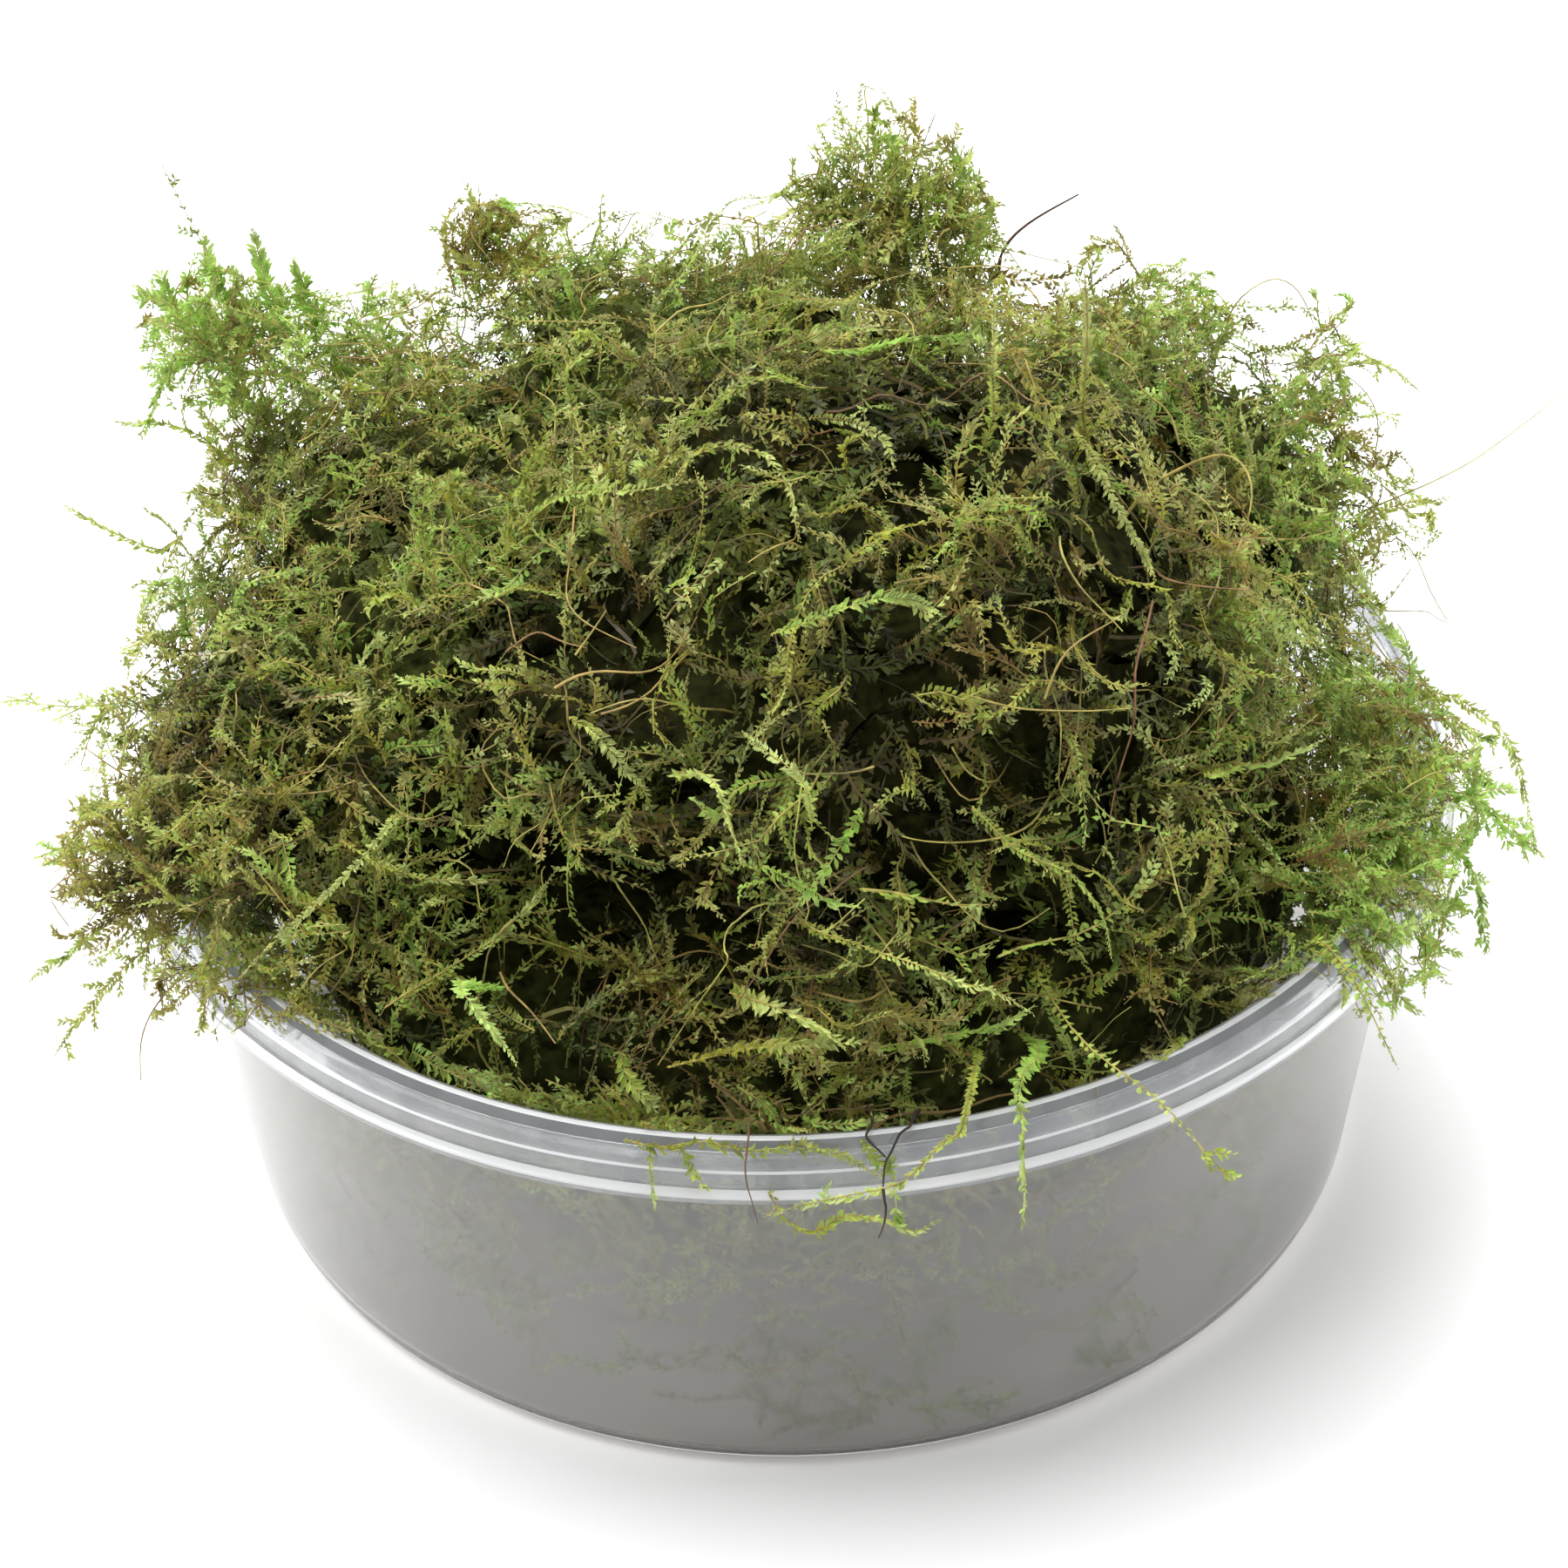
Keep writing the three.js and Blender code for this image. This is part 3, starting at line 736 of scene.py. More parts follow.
packedValues = {
    "triangles": 184000, "deep": 4.5, "core": 5.4, "green": 0.46, "fineShare": 0.1, "seed": 120,
    "topShare": 13.0, "underShare": 0.1, "shade": 0.72, "lowest": 7.0, "hollows": 0.4,
}

# How a strand grows: shares of each kind, and its size.
strandValues = {
    "kinds": ["feather", "slim", "sparse", "bare", "thread"],
    "shares": [0.43, 0.31, 0.15, 0.07, 0.04],
    "length": (5.0, 14.0),
    "size": (0.72, 1.12),
    "coarseSize": 1.5,  # strands made of fewer triangles are larger, so that they cover as much
    "coarseFrom": 0.38,  # strands this deep in shade are made coarse
    "pale": (0.1, 0.6),
    "paleShare": 0.22,
    "branchedShare": 0.26,
    "branchGap": 1.7,
    "branchLength": 3.0,
    "branchTurn": (0.62, 0.78),  # how much of a branch's way goes along its strand, and how much aside
    "branchRadius": (5, 14),
    "standingShare": 0.36,
    "standingSwell": 0.4,  # how much more of them stand on a tuft
    "standingLength": 0.7,
    "standingLift": (0.5, 1.3),
    "lyingLift": (-0.2, 0.4),
    "bareLength": 1.3,
    "radius": (3, 18),
    "flatShare": 0.65,
    "reach": 1.4,  # how far a tip may pass the solid's skin
    "wave": 0.9,
    # tufts and wide hollows: how much they count, and the distance over which they follow each other
    "tuft": (0.7, 8.0),
    "wide": (0.6, 19.0),
    "flowLength": 13.0,  # distance over which neighbours lie the same way
    "flow": 1.8,
    "flowSeed": 31,
    "hollow": 3.7,  # how much deeper strands lie in a hollow
    "emptyBelow": -0.34,  # hollows below this get half as many strands
    "darkDepth": 4.2,  # strands this far below the skin are in full shade
}
noise.seed_set(strandValues["flowSeed"])  # or else Blender takes its seed from the clock


def fitToSkin(path, outer, reach):
    # pull what stands too far out back towards the solids, and say how deep each station lies
    stations = np.unique(np.linspace(0, len(path) - 1, 5).astype(int))
    pulls = np.zeros((len(stations), 3))
    below = np.zeros(len(stations))
    for k, station in enumerate(stations):
        place, normal, _, distance = outer.find_nearest(Vector(path[station]))
        away = path[station] - np.array(place)
        outside = away @ np.array(normal) > 0
        if outside and distance > reach:
            pulls[k] = away * (reach / distance - 1)
        below[k] = -min(distance, reach) if outside else distance
    index = np.arange(len(path))
    for axis in range(3):
        path[:, axis] += np.interp(index, stations, pulls[:, axis])
    return path, np.clip(np.interp(index, stations, below) / strandValues["darkDepth"], 0, 1)


def addShoot(growth, path, side, twist, kindName, size, tone, depth, rng, detail, branched, pale=0.0):
    kind = shootKinds[kindName]
    share = 3 if kind["leaf"] else 1
    stations = np.unique(np.linspace(0, len(path) - 1, max(3, len(path) // share)).astype(int))
    stemTone = np.clip(tone * 0.6 + rng.normal(0.2, 0.15), 0, 1)
    sides = 2 if detail == coarse else 3
    addStem(growth, path[stations], kind["stem"] * size, 0.45, stemTone, depth[stations], stemSlot, sides)
    if kind["leaf"]:
        addLeaves(growth, path, side, twist, kind, size, tone, depth, rng, detail, pale)
    if not branched:
        return
    tangent, across, _ = strandFrames(path, side, twist)
    v = strandValues
    ahead, aside = v["branchTurn"]
    steps = max(2, int(v["branchGap"] / kind["gap"]))
    hand = 1
    for k in range(steps, len(path) - 2, steps):
        left = 1 - k / len(path)
        length = v["branchLength"] * size * (0.35 + 0.9 * left) * rng.uniform(0.5, 1.2)
        heading = tangent[k] * ahead + hand * across[k] * aside
        radius = rng.uniform(*v["branchRadius"])
        twig = arcPath(path[k], heading, tangent[k], radius, length, kind["gap"], 0.15, rng)
        if crossesWall(twig):
            continue
        depths = np.full(len(twig), depth[k])
        third = max(1, len(twig) // 3)
        addStem(growth, twig[::third], kind["stem"] * size * 0.8, 0.5, stemTone, depths[::third], stemSlot,
                sides)
        if kind["leaf"]:
            addLeaves(growth, twig, tangent[k], rng.uniform(-0.5, 0.5), kind, size * 0.85, tone, depths, rng,
                      detail, pale)
        hand = -hand


def skinRoots(name, count, rng, values, whole, clear):
    # random places on a solid's skin, with the way out, leaving out those that a neighbour covers
    triangles = nodeTriangles(name)
    edgeA = triangles[:, 1] - triangles[:, 0]
    edgeB = triangles[:, 2] - triangles[:, 0]
    crossed = np.cross(edgeA, edgeB)
    normals = unit(crossed)
    weights = np.linalg.norm(crossed, axis=1)
    weights = weights * np.where(normals[:, 2] > 0.5, values.get("topShare", 1.0), 1.0)
    weights = weights * np.where(normals[:, 2] < -0.5, values.get("underShare", 0.5), 1.0)
    picked = rng.choice(len(triangles), count, p=weights / weights.sum())
    u, v = rng.uniform(0, 1, (2, count))
    over = u + v > 1
    u[over], v[over] = 1 - u[over], 1 - v[over]
    places = triangles[picked, 0] + u[:, None] * edgeA[picked] + v[:, None] * edgeB[picked]
    faceOut = normals[picked]
    low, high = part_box(name)
    middle = (np.array(low) + np.array(high)) / 2 / mm
    outs = unit(faceOut * 0.45 + unit(places - middle) * 0.7 + up * 0.15)
    kept = [k for k in range(count)
            if whole.ray_cast(Vector(places[k] + faceOut[k] * 0.15), Vector(faceOut[k]), clear)[0] is None]
    return places[kept], outs[kept]


toneValues = {
    "brown": (0.0, 0.22),
    "brownShare": 0.12,
    "bright": (0.75, 1.0),
    "brightFrom": 0.86,
    "spread": 0.14,
}


def strandTone(green, rng):
    # most strands are near the clump's own tone, some are old and brown, a few are bright
    v = toneValues
    pick = rng.uniform()
    if pick < v["brownShare"]:
        return rng.uniform(*v["brown"])
    if pick > v["brightFrom"]:
        return rng.uniform(*v["bright"])
    return float(np.clip(rng.normal(green, v["spread"]), 0, 1))


def growOnSkin(growth, name, values, trees):
    rng = np.random.default_rng(values["seed"])
    whole, outer, _ = trees
    v = strandValues
    budget = values["triangles"] * growthShare
    (tuft, tuftLength), (wide, wideLength) = v["tuft"], v["wide"]
    deepest = values["core"] - 0.7 if values["core"] else values["deep"] + 1.8
    while growth["triangles"] < budget:
        places, outs = skinRoots(name, 400, rng, values, whole, openGap)
        high = places[:, 2] > values.get("lowest", 0.0)
        places, outs = places[high], outs[high]
        if len(places) == 0:
            break
        for place, out in zip(places, outs):
            if growth["triangles"] >= budget:
                break
            # tufts stand up to the skin, and hollows between them lie deeper
            swell = tuft * noise.noise(Vector(place) / tuftLength)
            swell += wide * noise.noise(Vector(place) / wideLength + Vector((7, 3, 5)))
            swell *= values.get("hollows", 1.0)
            if swell < v["emptyBelow"] and rng.uniform() < 0.5:
                continue
            hollow = max(0.0, -swell) * v["hollow"]
            standing = rng.uniform() < v["standingShare"] + v["standingSwell"] * swell
            rooting = rng.uniform(0.4, 1.0) if standing else rng.uniform() ** 1.2
            depth = min(rooting * values["deep"] + (0.0 if standing else 0.5) + hollow, deepest)
            # neighbours lie much the same way
            flow = np.array(noise.noise_vector(Vector(place) / v["flowLength"]))
            lying = unit(np.cross(out, flow * v["flow"] + rng.normal(0, 0.6, 3)))
            lift = rng.uniform(*v["standingLift" if standing else "lyingLift"])
            heading = lying * math.cos(lift) + out * math.sin(lift)
            bend = rng.normal(0, 1, 3) + (-up * 0.7 if standing else -out * 0.8)
            length = rng.uniform(*v["length"]) * (v["standingLength"] if standing else 1.0)
            kindName = rng.choice(v["kinds"], p=v["shares"])
            kind = shootKinds[kindName]
            if not kind["leaf"]:
                length *= v["bareLength"]
            wave = v["wave"] * rng.uniform(0.4, 1.3)
            radius = rng.uniform(*v["radius"])
            path = arcPath(place - out * depth, heading, bend, radius, length, kind["gap"], wave, rng)
            path, shade = fitToSkin(path, outer, v["reach"])
            shade = shade * values["shade"]
            path = keepOffTub(smoothPath(path, 1))
            if crossesWall(path):
                continue
            size = rng.uniform(*v["size"])
            detail = coarse if shade.min() > v["coarseFrom"] else plain
            if detail == coarse:
                size *= v["coarseSize"]
            if detail == plain and rng.uniform() < values["fineShare"]:
                detail = fine
            branched = kind["leaf"] and rng.uniform() < v["branchedShare"]
            # feathers lie flat on the heap, or show a side when they stand
            side = np.cross(heading, out) if rng.uniform() < v["flatShare"] else rng.normal(0, 1, 3)
            tone = strandTone(values["green"], rng)
            pale = rng.uniform(*v["pale"]) if rng.uniform() < v["paleShare"] else 0.0
            addShoot(growth, path, side, rng.normal(0, 1.3), kindName, size, tone, shade, rng, detail,
                     branched, pale)


coreValues = {
    "smoothings": 5,
    "uneven": 0.8,
    "pushes": 4,
    "push": 0.8,  # share of what is missing that each push goes
    "deepEnough": 0.6,  # share of its inset that each corner has to reach
    "overRim": 7.0,
    "rimRadius": 44.0,
}
allAxes = {"use_axis_x": True, "use_axis_y": True, "use_axis_z": True}


def addCore(growth, name, inset, tone, outer, rng):
    # the moss deep inside, as a dark sheet of painted shade: the solid's skin, smoothed and drawn in until it
    # lies well below the open skin
    bm = bmesh.new()
    bm.from_mesh(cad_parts[name].data)
    bmesh.ops.scale(bm, vec=(1 / mm,) * 3, verts=bm.verts)
    bmesh.ops.remove_doubles(bm, verts=bm.verts, dist=0.01)
    for _ in range(coreValues["smoothings"]):
        bmesh.ops.smooth_vert(bm, verts=bm.verts, factor=0.5, **allAxes)
    bmesh.ops.subdivide_edges(bm, edges=bm.edges, cuts=1, use_grid_fill=True)
    bmesh.ops.triangulate(bm, faces=bm.faces)
    bm.verts.ensure_lookup_table()
    points = np.array([v.co for v in bm.verts])
    corners = np.array([[v.index for v in f.verts] for f in bm.faces])
    bm.free()
    wanted = inset + rng.uniform(-1, 1, len(points)) * coreValues["uneven"]
    for _ in range(coreValues["pushes"]):
        for k in range(len(points)):
            place, normal, _, distance = outer.find_nearest(Vector(points[k]))
            normal = np.array(normal)
            below = -((points[k] - np.array(place)) @ normal)
            if below < 0 or distance < wanted[k]:
                missing = wanted[k] - (distance if below > 0 else -distance)
                points[k] -= normal * missing * coreValues["push"]
    # corners that can't get deep enough close up on their neighbours
    reached = np.array([outer.find_nearest(Vector(p))[3] for p in points])
    sunk = reached > coreValues["deepEnough"] * inset
    good = np.flatnonzero(sunk)
    for k in np.flatnonzero(~sunk):
        corners[corners == k] = good[np.argmin(((points[good] - points[k]) ** 2).sum(axis=1))]
    firsts, seconds, thirds = corners.T
    corners = corners[(firsts != seconds) & (seconds != thirds) & (thirds != firsts)]
    # it never reaches out over the rim
    radius = np.hypot(points[:, 0], points[:, 1])
    nearRim = points[:, 2] < tubHeight + coreValues["overRim"]
    drawn = np.minimum(1, coreValues["rimRadius"] / np.maximum(radius, 1e-6))
    points[:, :2] *= np.where(nearRim, drawn, 1)[:, None]
    points = keepOffTub(points)
    addPatch(growth, points, corners, growthNumbers(len(points), tone, 0.0, 1.0), coreSlot)


# Strands that catch the eye, drawn as the camera sees them: mm right and up from the point that it aims at.
# Each is laid on what it meets there and lifted off it towards the camera.
# Kind, tone, size, lift in mm and paleness, and then its points.
frontLines = [
    ("thread", 0.2, 1.5, 2.2, 0.15,
     [(-16.2, 21.5), (-16.6, 17.5), (-17.2, 14.6), (-16.0, 12.5), (-14.6, 11.8), (-11.5, 10.4)]),
    ("bare", 0.45, 1.0, 2.4, 0.15,
     [(-21.6, 10.2), (-20.0, 11.4), (-18.2, 11.7), (-16.9, 11.7), (-15.2, 10.9)]),
    ("bare", 0.3, 1.1, 2.6, 0.15,
     [(-17.8, 7.4), (-17.0, 9.0), (-15.0, 9.2), (-12.4, 8.3), (-9.0, 8.4), (-7.4, 10.6), (-6.5, 13.0)]),
    ("bare", 0.12, 1.0, 2.9, 0.15, [(-14.2, 5.4), (-11.4, 5.8), (-9.0, 7.4), (-8.8, 9.6)]),
    ("thread", 0.3, 1.4, 2.6, 0.15, [(-16.2, 10.0), (-14.8, 12.6), (-13.6, 13.6)]),
    ("frilly", 0.55, 0.95, 2.0, 0.5, [(-16.6, 5.2), (-14.6, 3.2), (-12.8, 1.4), (-11.0, 0.4)]),
    ("frilly", 0.6, 0.8, 2.2, 0.55, [(2.2, -3.6), (1.6, -0.2), (0.2, 1.6), (-1.6, 3.0), (-3.2, 4.0)]),
    ("slim", 0.5, 1.05, 2.0, 0.4,
     [(-8.6, 23.4), (-7.0, 25.8), (-4.6, 26.4), (-1.4, 25.6), (0.6, 23.2), (1.0, 19.0)]),
    ("sparse", 0.75, 1.3, 1.8, 0.15,
     [(-20.6, 19.6), (-17.6, 22.6), (-14.4, 22.8), (-11.4, 22.6), (-8.0, 23.4)]),
    ("frilly", 0.95, 1.0, 1.6, 0.15, [(3.0, 33.6), (7.0, 33.6), (10.0, 34.6), (13.6, 35.0), (15.6, 34.4)]),
    ("frilly", 0.5, 0.75, 1.8, 0.6, [(2.0, 28.4), (5.2, 28.2), (7.6, 27.0), (8.6, 24.6)]),
    ("frilly", 0.74, 0.95, 2.4, 0.15, [(-1.0, 11.6), (3.4, 13.2), (7.6, 14.4), (10.2, 14.2), (12.0, 13.0)]),
    ("frilly", 0.85, 1.0, 2.8, 0.15, [(6.0, -2.0), (5.0, -4.0), (3.6, -6.4), (1.0, -9.4)]),
    ("frilly", 0.85, 1.05, 2.8, 0.15, [(-1.6, -6.4), (1.2, -7.6), (3.4, -9.2), (5.6, -9.6)]),
    ("frilly", 0.5, 0.8, 1.8, 0.6, [(22.4, 27.6), (24.6, 24.4), (26.0, 21.0), (27.6, 17.8), (28.8, 15.8)]),
    ("thread", 0.75, 1.5, 2.6, 0.15,
     [(21.4, 19.2), (20.8, 17.2), (22.0, 15.4), (24.2, 14.0), (25.6, 13.8), (26.8, 11.8)]),
    ("bare", 0.55, 1.0, 2.4, 0.15, [(20.2, 6.6), (21.0, 9.6), (23.4, 11.6), (26.0, 13.0)]),
    ("sparse", 0.3, 1.2, 2.0, 0.15, [(33.0, 19.6), (35.4, 17.4), (37.8, 15.2), (40.0, 13.4)]),
    ("slim", 0.75, 1.2, 2.2, 0.15, [(32.8, 0.6), (35.2, 1.4), (37.8, 1.6), (41.6, 3.4)]),
    ("bare", 0.15, 1.0, 2.2, 0.15,
     [(28.6, 14.2), (28.1, 10.8), (26.7, 7.4), (27.2, 3.8), (26.2, 0.2), (24.9, -3.8)]),
    ("bare", 0.6, 0.9, 2.4, 0.15, [(14.4, 6.8), (17.2, 5.7), (20.4, 6.4), (23.6, 4.9), (27.0, 5.7)]),
    ("slim", 0.7, 0.9, 2.6, 0.15, [(14.6, -1.8), (18.0, -5.2), (22.6, -7.0), (24.6, -10.0), (25.4, -13.4)]),
    ("sparse", 0.6, 1.4, 2.6, 0.15, [(6.0, -8.2), (9.4, -8.4), (13.4, -9.4), (15.6, -9.4)]),
    ("frilly", 0.5, 1.3, 2.8, 0.45, [(-4.2, -16.2), (-0.8, -17.2), (2.6, -18.6), (4.6, -20.4)]),
    ("frilly", 0.45, 1.2, 2.4, 0.15, [(-9.0, -22.0), (-4.6, -20.6), (0.8, -20.4), (6.4, -20.0)]),
    ("frilly", 0.7, 1.2, 2.2, 0.15, [(-12.6, -20.8), (-11.6, -23.4), (-10.2, -25.6)]),
    ("frilly", 0.78, 1.2, 2.2, 0.15, [(6.6, -20.6), (12.0, -19.2), (17.0, -18.8), (19.6, -17.6)]),
    ("sparse", 0.7, 1.1, 2.2, 0.15,
     [(16.6, -13.4), (19.0, -12.4), (23.4, -11.4), (28.0, -8.2), (29.6, -4.0)]),
    ("slim", 0.55, 1.0, 2.2, 0.15, [(-31.0, -17.4), (-26.6, -14.6), (-22.4, -12.2), (-17.8, -6.8)]),
    ("slim", 0.5, 1.0, 2.2, 0.15, [(-34.4, -4.4), (-31.2, -6.4), (-27.6, -7.6), (-22.4, -7.4)]),
    ("bare", 0.1, 1.1, 2.6, 0.15, [(-22.0, -14.6), (-20.8, -17.2), (-17.8, -19.6)]),
]
rimLines = [
    ("frilly", 0.5, 0.95, 0.8, 0.15,
     [(-12.4, -27.6), (-9.6, -28.3), (-6.2, -27.7), (-2.6, -28.5), (1.4, -27.9), (4.4, -28.6), (7.2, -30.4)]),
    ("frilly", 0.7, 0.7, 0.8, 0.15, [(-10.4, -27.8), (-10.5, -29.6), (-9.9, -31.4), (-10.0, -33.0)]),
    ("frilly", 0.65, 0.85, 0.8, 0.15, [(-8.2, -28.0), (-7.3, -29.6), (-6.7, -30.8), (-5.6, -31.9)]),
    ("frilly", 0.72, 0.8, 0.9, 0.15,
     [(6.0, -27.6), (7.3, -29.2), (8.4, -30.4), (8.2, -32.0), (8.8, -33.6)]),
    ("frilly", 0.5, 0.95, 0.9, 0.15,
     [(-1.2, -32.5), (1.8, -32.7), (4.8, -33.4), (7.6, -33.6), (10.2, -34.9), (11.8, -33.9)]),
    ("frilly", 0.8, 0.7, 0.9, 0.15, [(3.2, -33.0), (3.0, -32.0), (3.6, -31.0)]),
    ("twig", 0.05, 0.12, 1.0, 0.15,
     [(10.5, -25.4), (9.7, -26.6), (8.9, -27.0), (8.3, -28.6), (7.8, -29.3), (7.7, -31.4)]),
    ("twig", 0.1, 0.13, 0.9, 0.15, [(6.5, -25.0), (6.9, -26.4), (6.3, -27.2), (7.4, -28.2), (8.0, -28.9)]),
]


def wallDistance(eye, ray, clear):
    # how far along a ray it meets the round face that hanging strands keep to, where that is below the rim
    a = ray.x**2 + ray.y**2
    b = eye.x * ray.x + eye.y * ray.y
    inside = b**2 - a * (eye.x**2 + eye.y**2 - (rimRadius + clear) ** 2)
    if inside < 0:
        return None
    far = (-b - math.sqrt(inside)) / a
    return far if (eye + ray * far).z < beadHeight else None


def layAsSeen(line, tree, lift, gap):
    across, upward, back = cameraAxes(cameraValues)
    eye = Vector(cameraValues["target"]) + back * cameraValues["distance"]
    rays = []
    far = []
    for right, high in line:
        ray = across * (right / cameraValues["distance"]) + upward * (high / cameraValues["distance"]) - back
        hit = tree.ray_cast(eye, ray.normalized())[0]
        rays.append(np.array(ray))
        hanging = wallDistance(eye, ray, lift)
        seen = np.nan if hit is None else (hit - eye).dot(-back)
        far.append(seen if hanging is None else min(np.nan_to_num(seen, nan=1e9), hanging + lift))
    far = np.array(far)
    far = np.where(np.isnan(far), np.nanmean(far), far)
    far = 0.6 * far + 0.4 * np.convolve(np.pad(far, 1, "edge"), [0.25, 0.5, 0.25], "valid") - lift
    return resample(np.array(eye) + np.array(rays) * far[:, None], gap)


lineValues = {
    "twigGap": 0.2,
    "twigWander": 0.15,
    "twigTaper": 0.45,
    "wander": 0.3,
    "offTub": 0.55,  # clear space that keeps the leaves out of the plastic
}


def growLines(growth, lines, tree, seed):
    rng = np.random.default_rng(seed)
    v = lineValues
    for kindName, tone, size, lift, pale, line in lines:
        if kindName == "twig":
            path = keepOffTub(wander(layAsSeen(line, tree, lift, v["twigGap"]), v["twigWander"], rng))
            addStem(growth, path, size, v["twigTaper"], tone, np.zeros(len(path)), twigSlot, 6)
            continue
        path = wander(layAsSeen(line, tree, lift, shootKinds[kindName]["gap"]), v["wander"], rng)
        path = smoothPath(keepOffTub(path, v["offTub"]), 2)
        side = np.array(cameraAxes(cameraValues)[0]) + rng.normal(0, 0.5, 3)
        addShoot(growth, path, side, rng.normal(0, 0.8), kindName, size, tone, np.zeros(len(path)), rng, fine,
                 False, pale)


def growClumps(materials, trees):
    for name, values in clumpValues.items():
        rng = np.random.default_rng(values["seed"] + 500)
        growth = newGrowth()
        if values["core"]:
            addCore(growth, name, values["core"], values["coreTone"], trees[1], rng)
        if name == "front_clump":
            growLines(growth, frontLines, trees[2], 300)
        growOnSkin(growth, name, values, trees)
        growthObject(name + "_strands", growth, materials, [name])


wallStrandValues = {
    "count": 980,
    "length": (7.0, 18.0),
    "offset": (0.3, 2.4),  # clear space behind the wall
    "height": (2.5, 33.0),
    "thinning": 1.3,  # how much more of them start high up
    "emptyBelow": -0.15,  # patches below this stay empty
    "lowestEdge": (12, 16),  # how high they start in a middling patch, and how far that moves with the patch
    "size": (0.9, 1.4),
    "tone": (0.3, 0.8),
    "shade": (0.1, 0.12),  # shade at the wall, and how much is added for each mm behind it
    "shares": {"feather": 0.45, "slim": 0.25, "sparse": 0.1, "bare": 0.2},
    "branchedShare": 0.3,
    "seed": 140,
}


def growByWall(growth, values):
    # strands pressed along the inside of the wall, thinning out towards the bottom
    rng = np.random.default_rng(values["seed"])
    kinds, shares = zip(*values["shares"].items())
    (low, high), (near, far) = values["height"], values["offset"]
    edge, edgeRange = values["lowestEdge"]
    wallShade, shadePerMm = values["shade"]
    for _ in range(int(values["count"] * growthShare)):
        angle = rng.uniform(0, 2 * math.pi)
        z = high - (high - low) * rng.uniform() ** values["thinning"]
        patch = noise.noise(Vector((math.cos(angle) * 3, math.sin(angle) * 3, z / 9)))
        if patch < values["emptyBelow"] or z < edge - edgeRange * patch:
            continue
        offset = near + (far - near) * rng.uniform() ** 1.5
        kindName = rng.choice(kinds, p=shares)
        kind = shootKinds[kindName]
        length = rng.uniform(*values["length"])
        s = np.linspace(0, length, int(length / kind["gap"]) + 2)
        course = rng.uniform(0, 6.3) + s * rng.normal(0, 0.12) + 0.6 * np.sin(s * rng.uniform(0.3, 0.8))
        step = s[1]
        heights = np.clip(z + np.cumsum(np.sin(course)) * step, low, high + 0.5)
        radius = innerWallRadius(heights) - offset - 0.5 * np.sin(s * 0.5) ** 2
        angles = angle + np.cumsum(np.cos(course)) * step / radius
        path = np.stack([radius * np.cos(angles), radius * np.sin(angles), heights], 1)
        outward = np.array([math.cos(angle), math.sin(angle), 0.0])
        side = np.cross(path[-1] - path[0], outward) + rng.normal(0, 0.2, 3)
        shade = np.full(len(path), wallShade + shadePerMm * offset)
        size = rng.uniform(*values["size"])
        tone = rng.uniform(*values["tone"])
        addShoot(growth, path, side, rng.normal(0, 0.6), kindName, size, tone, shade, rng, coarse,
                 rng.uniform() < values["branchedShare"])


def growPacked(materials, trees):
    rng = np.random.default_rng(packedValues["seed"] + 500)
    growth = newGrowth()
    addCore(growth, "moss_in_tub", packedValues["core"], 0.5, trees[1], rng)
    growByWall(growth, wallStrandValues)
    print("along the wall:", growth["triangles"], "triangles")
    growOnSkin(growth, "moss_in_tub", packedValues, trees)
    growthObject("packed_moss_strands", growth, materials, ["moss_in_tub"])


# Single shoots that stand out of the heap follow the line of their own solid.
shootGroups = {
    "rim_shoots": ["rim_hair", "rim_strand", "rim_twig", "rim_frond", "rim_long_stem"],
    "right_shoots": ["right_hanging_frond", "right_low_frond", "right_green_frond", "right_drooping_frond",
                     "right_upper_frond", "right_wisp"],
    "left_shoots": ["left_far_frond", "left_low_frond", "left_fan_frond", "left_fan_stem",
                    "left_hanging_hair", "left_high_frond", "left_back_frond"],
    "spur_shoots": ["spur_end_frond", "spur_drooping_frond", "spur_frond_1", "spur_frond_2", "spur_frond_3"],
    "top_shoots": ["top_tuft_frond", "peak_frond_1", "peak_frond_2", "top_right_twig", "top_right_stem",
                   "upper_right_frond"],
    "front_shoots": ["front_upright_frond", "front_short_frond", "front_curved_stem", "front_pale_stem",
                     "front_low_frond", "front_long_stem", "front_pale_frond"],
    "back_shoots": ["back_frond_1", "back_frond_2", "back_frond_3", "back_left_frond"],
}


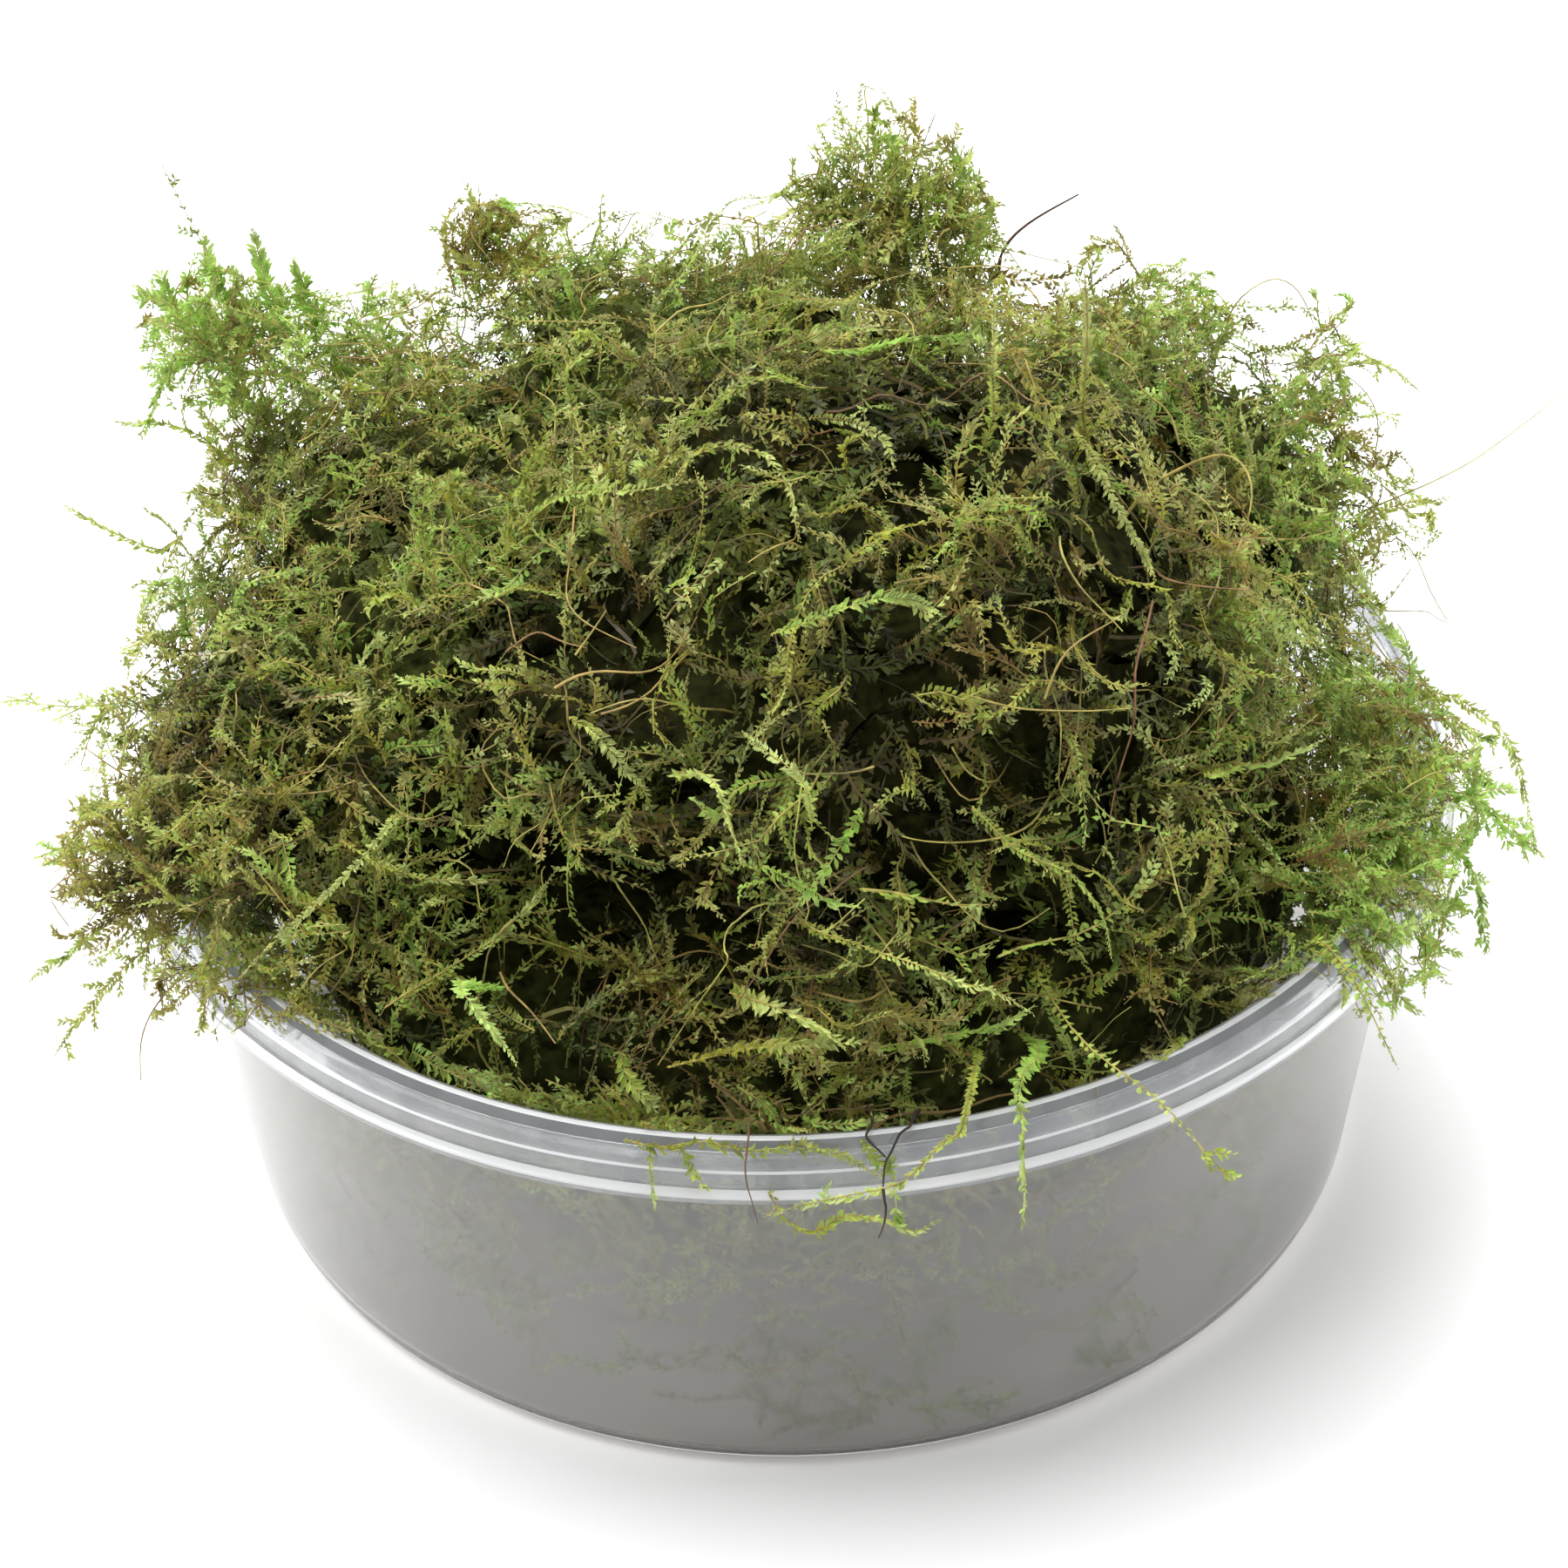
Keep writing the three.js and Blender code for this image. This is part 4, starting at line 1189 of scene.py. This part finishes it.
# How a single shoot looks where it isn't a plain feather or a bare stem.
# from is the share of its line that stays hidden in the moss.
shootLooks = {
    "rim_strand": {"kind": "slim", "tone": 0.55, "size": 1.05},
    "rim_frond": {"kind": "frilly", "tone": 0.78, "size": 1.15},
    "rim_long_stem": {"kind": "sparse", "tone": 0.6, "size": 1.0, "tuft": True},
    "rim_hair": {"kind": "twig", "tone": 0.9, "size": 0.075, "from": 0.5},
    "rim_twig": {"kind": "twig", "tone": 0.1, "size": 0.11, "from": 0.6},
    "top_right_twig": {"kind": "twig", "tone": 0.5, "size": 0.16, "from": 0.3},
    "right_wisp": {"kind": "thread", "tone": 0.5, "size": 1.4},
    "right_hanging_frond": {"kind": "sparse", "tone": 0.7, "size": 1.1},
    "right_green_frond": {"kind": "frilly", "tone": 1.0, "size": 1.25, "branched": True},
    "right_low_frond": {"kind": "frilly", "tone": 0.9, "size": 1.15, "branched": True},
    "left_hanging_hair": {"kind": "thread", "tone": 0.25, "size": 1.4},
    "left_fan_stem": {"kind": "slim", "tone": 0.6, "size": 1.0, "branched": True},
    "left_far_frond": {"kind": "sparse", "tone": 0.7, "size": 1.1, "branched": True},
    "left_low_frond": {"kind": "slim", "tone": 0.85, "size": 1.2, "branched": True},
    "front_long_stem": {"kind": "slim", "tone": 0.45, "size": 1.05, "pale": 0.3},
    "front_pale_stem": {"kind": "slim", "tone": 0.5, "size": 0.85, "pale": 0.6},
    "front_curved_stem": {"kind": "bare", "tone": 0.6, "size": 1.3},
    "front_short_frond": {"kind": "frilly", "tone": 0.48, "size": 0.85, "pale": 0.3},
    "front_low_frond": {"kind": "frilly", "tone": 0.9, "size": 0.95},
    "front_upright_frond": {"kind": "slim", "tone": 0.42, "size": 1.05, "pale": 0.3},
    "front_pale_frond": {"kind": "frilly", "tone": 0.5, "size": 0.95, "pale": 0.6},
    "upper_right_frond": {"kind": "slim", "tone": 0.7, "size": 1.0},
    "spur_end_frond": {"kind": "frilly", "tone": 1.0, "size": 1.35, "branched": True},
    "spur_frond_1": {"kind": "frilly", "tone": 1.0, "size": 1.5},
    "spur_frond_2": {"kind": "frilly", "tone": 1.0, "size": 1.5},
    "spur_frond_3": {"kind": "frilly", "tone": 1.0, "size": 1.4},
    "spur_drooping_frond": {"kind": "slim", "tone": 0.95, "size": 1.4, "branched": True},
}


rootDepth = 2.5


def shootLook(node, rng):
    plainLook = {"kind": "frilly", "tone": rng.uniform(0.5, 0.8), "size": 1.0,
                 "branched": False, "tuft": False, "from": 0.0, "pale": 0.15}
    if node.endswith(("stem", "hair", "wisp")):
        plainLook.update(kind="bare", tone=rng.uniform(0.35, 0.6), size=0.9)
    return {**plainLook, **shootLooks.get(node, {})}


def farthest(start, links, points):
    # shortest way along the mesh from one corner to every other
    distance = {start: 0.0}
    queue = [(0.0, start)]
    while queue:
        d, k = heapq.heappop(queue)
        if d > distance[k]:
            continue
        for n in links[k]:
            step = d + float(np.linalg.norm(points[k] - points[n]))
            if step < distance.get(n, 1e9):
                distance[n] = step
                heapq.heappush(queue, (step, n))
    return distance


def centreLine(name, bins=7):
    # the line down the middle of a thin solid, from the heap outwards
    triangles = nodeTriangles(name)
    points, index = np.unique(np.round(triangles.reshape(-1, 3), 3), axis=0, return_inverse=True)
    links = {k: set() for k in range(len(points))}
    for a, b, c in index.reshape(-1, 3):
        links[a] |= {b, c}
        links[b] |= {a, c}
        links[c] |= {a, b}
    first = max(farthest(0, links, points).items(), key=lambda item: item[1])[0]
    distance = farthest(first, links, points)
    along = np.array([distance.get(k, 0.0) for k in range(len(points))])
    share = np.minimum((along / along.max() * bins).astype(int), bins - 1)
    line = np.array([points[share == k].mean(axis=0) for k in range(bins) if (share == k).any()])
    ends = points[[first, int(along.argmax())]]
    line[0], line[-1] = (line[0] + ends[0]) / 2, (line[-1] + ends[1]) / 2
    heart = np.array([0.0, 0.0, 42.0])
    if np.linalg.norm(line[0] - heart) > np.linalg.norm(line[-1] - heart):
        line = line[::-1]
    return line


def resample(line, gap):
    steps = np.linalg.norm(np.diff(line, axis=0), axis=1)
    along = np.concatenate([[0], np.cumsum(steps)])
    wanted = np.linspace(0, along[-1], max(4, int(along[-1] / gap) + 1))
    path = np.stack([np.interp(wanted, along, line[:, k]) for k in range(3)], 1)
    return smoothPath(path, 6)


def wander(path, amount, rng):
    # small bends that a straight line doesn't have, none at its start
    s = np.linspace(0, 1, len(path))
    length = np.linalg.norm(np.diff(path, axis=0), axis=1).sum()
    for _ in range(3):
        waves = rng.uniform(0.12, 0.4) * length + rng.uniform(1.0, 4.0)
        push = unit(rng.normal(0, 1, 3)) * amount * rng.uniform(0.4, 1.0)
        path = path + (np.minimum(1, s * 4) * np.sin(s * waves + rng.uniform(0, 6.3)))[:, None] * push
    return path


def addTuft(growth, path, look, rng):
    # a few short shoots that spread out at a strand's end
    heading = unit(path[-1] - path[-4])
    kind = shootKinds["slim"]
    for _ in range(5):
        start = path[-1 - rng.integers(0, 4)]
        out = heading + rng.normal(0, 0.6, 3)
        twig = arcPath(start, out, rng.normal(0, 1, 3), 6, rng.uniform(1.2, 2.4), kind["gap"], 0.1, rng)
        addShoot(growth, twig, rng.normal(0, 1, 3), 0.5, "slim", look["size"], look["tone"] + 0.1,
                 np.zeros(len(twig)), rng, fine, False)


def rooted(line, outer):
    # a shoot starts a little below the skin of the heap
    place, normal, _, _ = outer.find_nearest(Vector(line[0]))
    return np.vstack([np.array(place - normal * rootDepth), line])


def growShoots(materials, trees):
    for group, (piece, nodes) in enumerate(shootGroups.items()):
        growth = newGrowth()
        for k, node in enumerate(nodes):
            rng = np.random.default_rng(700 + group * 20 + k)
            line = centreLine(node)
            look = shootLook(node, rng)
            line = line[int(look["from"] * len(line)):] if look["from"] else rooted(line, trees[1])
            if look["kind"] == "twig":
                path = wander(resample(line, 0.5), 0.45, rng)
                addStem(growth, path, look["size"], 0.4, look["tone"], np.zeros(len(path)), twigSlot, 6)
                continue
            path = wander(resample(line, shootKinds[look["kind"]]["gap"]), 0.35, rng)
            side = np.cross(path[-1] - path[0], up) + rng.normal(0, 0.3, 3)
            addShoot(growth, path, side, rng.normal(0, 0.8), look["kind"], look["size"], look["tone"],
                     np.zeros(len(path)), rng, fine, look["branched"], look["pale"])
            if look["tuft"]:
                addTuft(growth, path, look, rng)
        if piece == "rim_shoots":
            growLines(growth, rimLines, trees[2], 400)
        growthObject(piece, growth, materials, nodes)


addCamera(cameraValues)
addStudio(studioValues)
print("camera and studio ready")
tintAndShadeGroup = growthTintAndShadeGroup(tintAndShadeValues)
reliefGroup = fineReliefGroup()
mossMaterials = [mossMaterial("moss" + name.capitalize(), values, tintAndShadeGroup, reliefGroup)
                 for name, values in materialValues.items()]
addTub([plasticMaterial(name + "Plastic", values, reliefGroup) for name, values in plasticValues.items()])
heapNames = list(clumpValues) + ["moss_in_tub"]
allTree = searchTree(np.concatenate([nodeTriangles(n) for n in heapNames + ["tub"]]))
heapTrees = (*outerSkin(heapNames, openGap), allTree)
growPacked(mossMaterials, heapTrees)
growClumps(mossMaterials, heapTrees)
growShoots(mossMaterials, heapTrees)
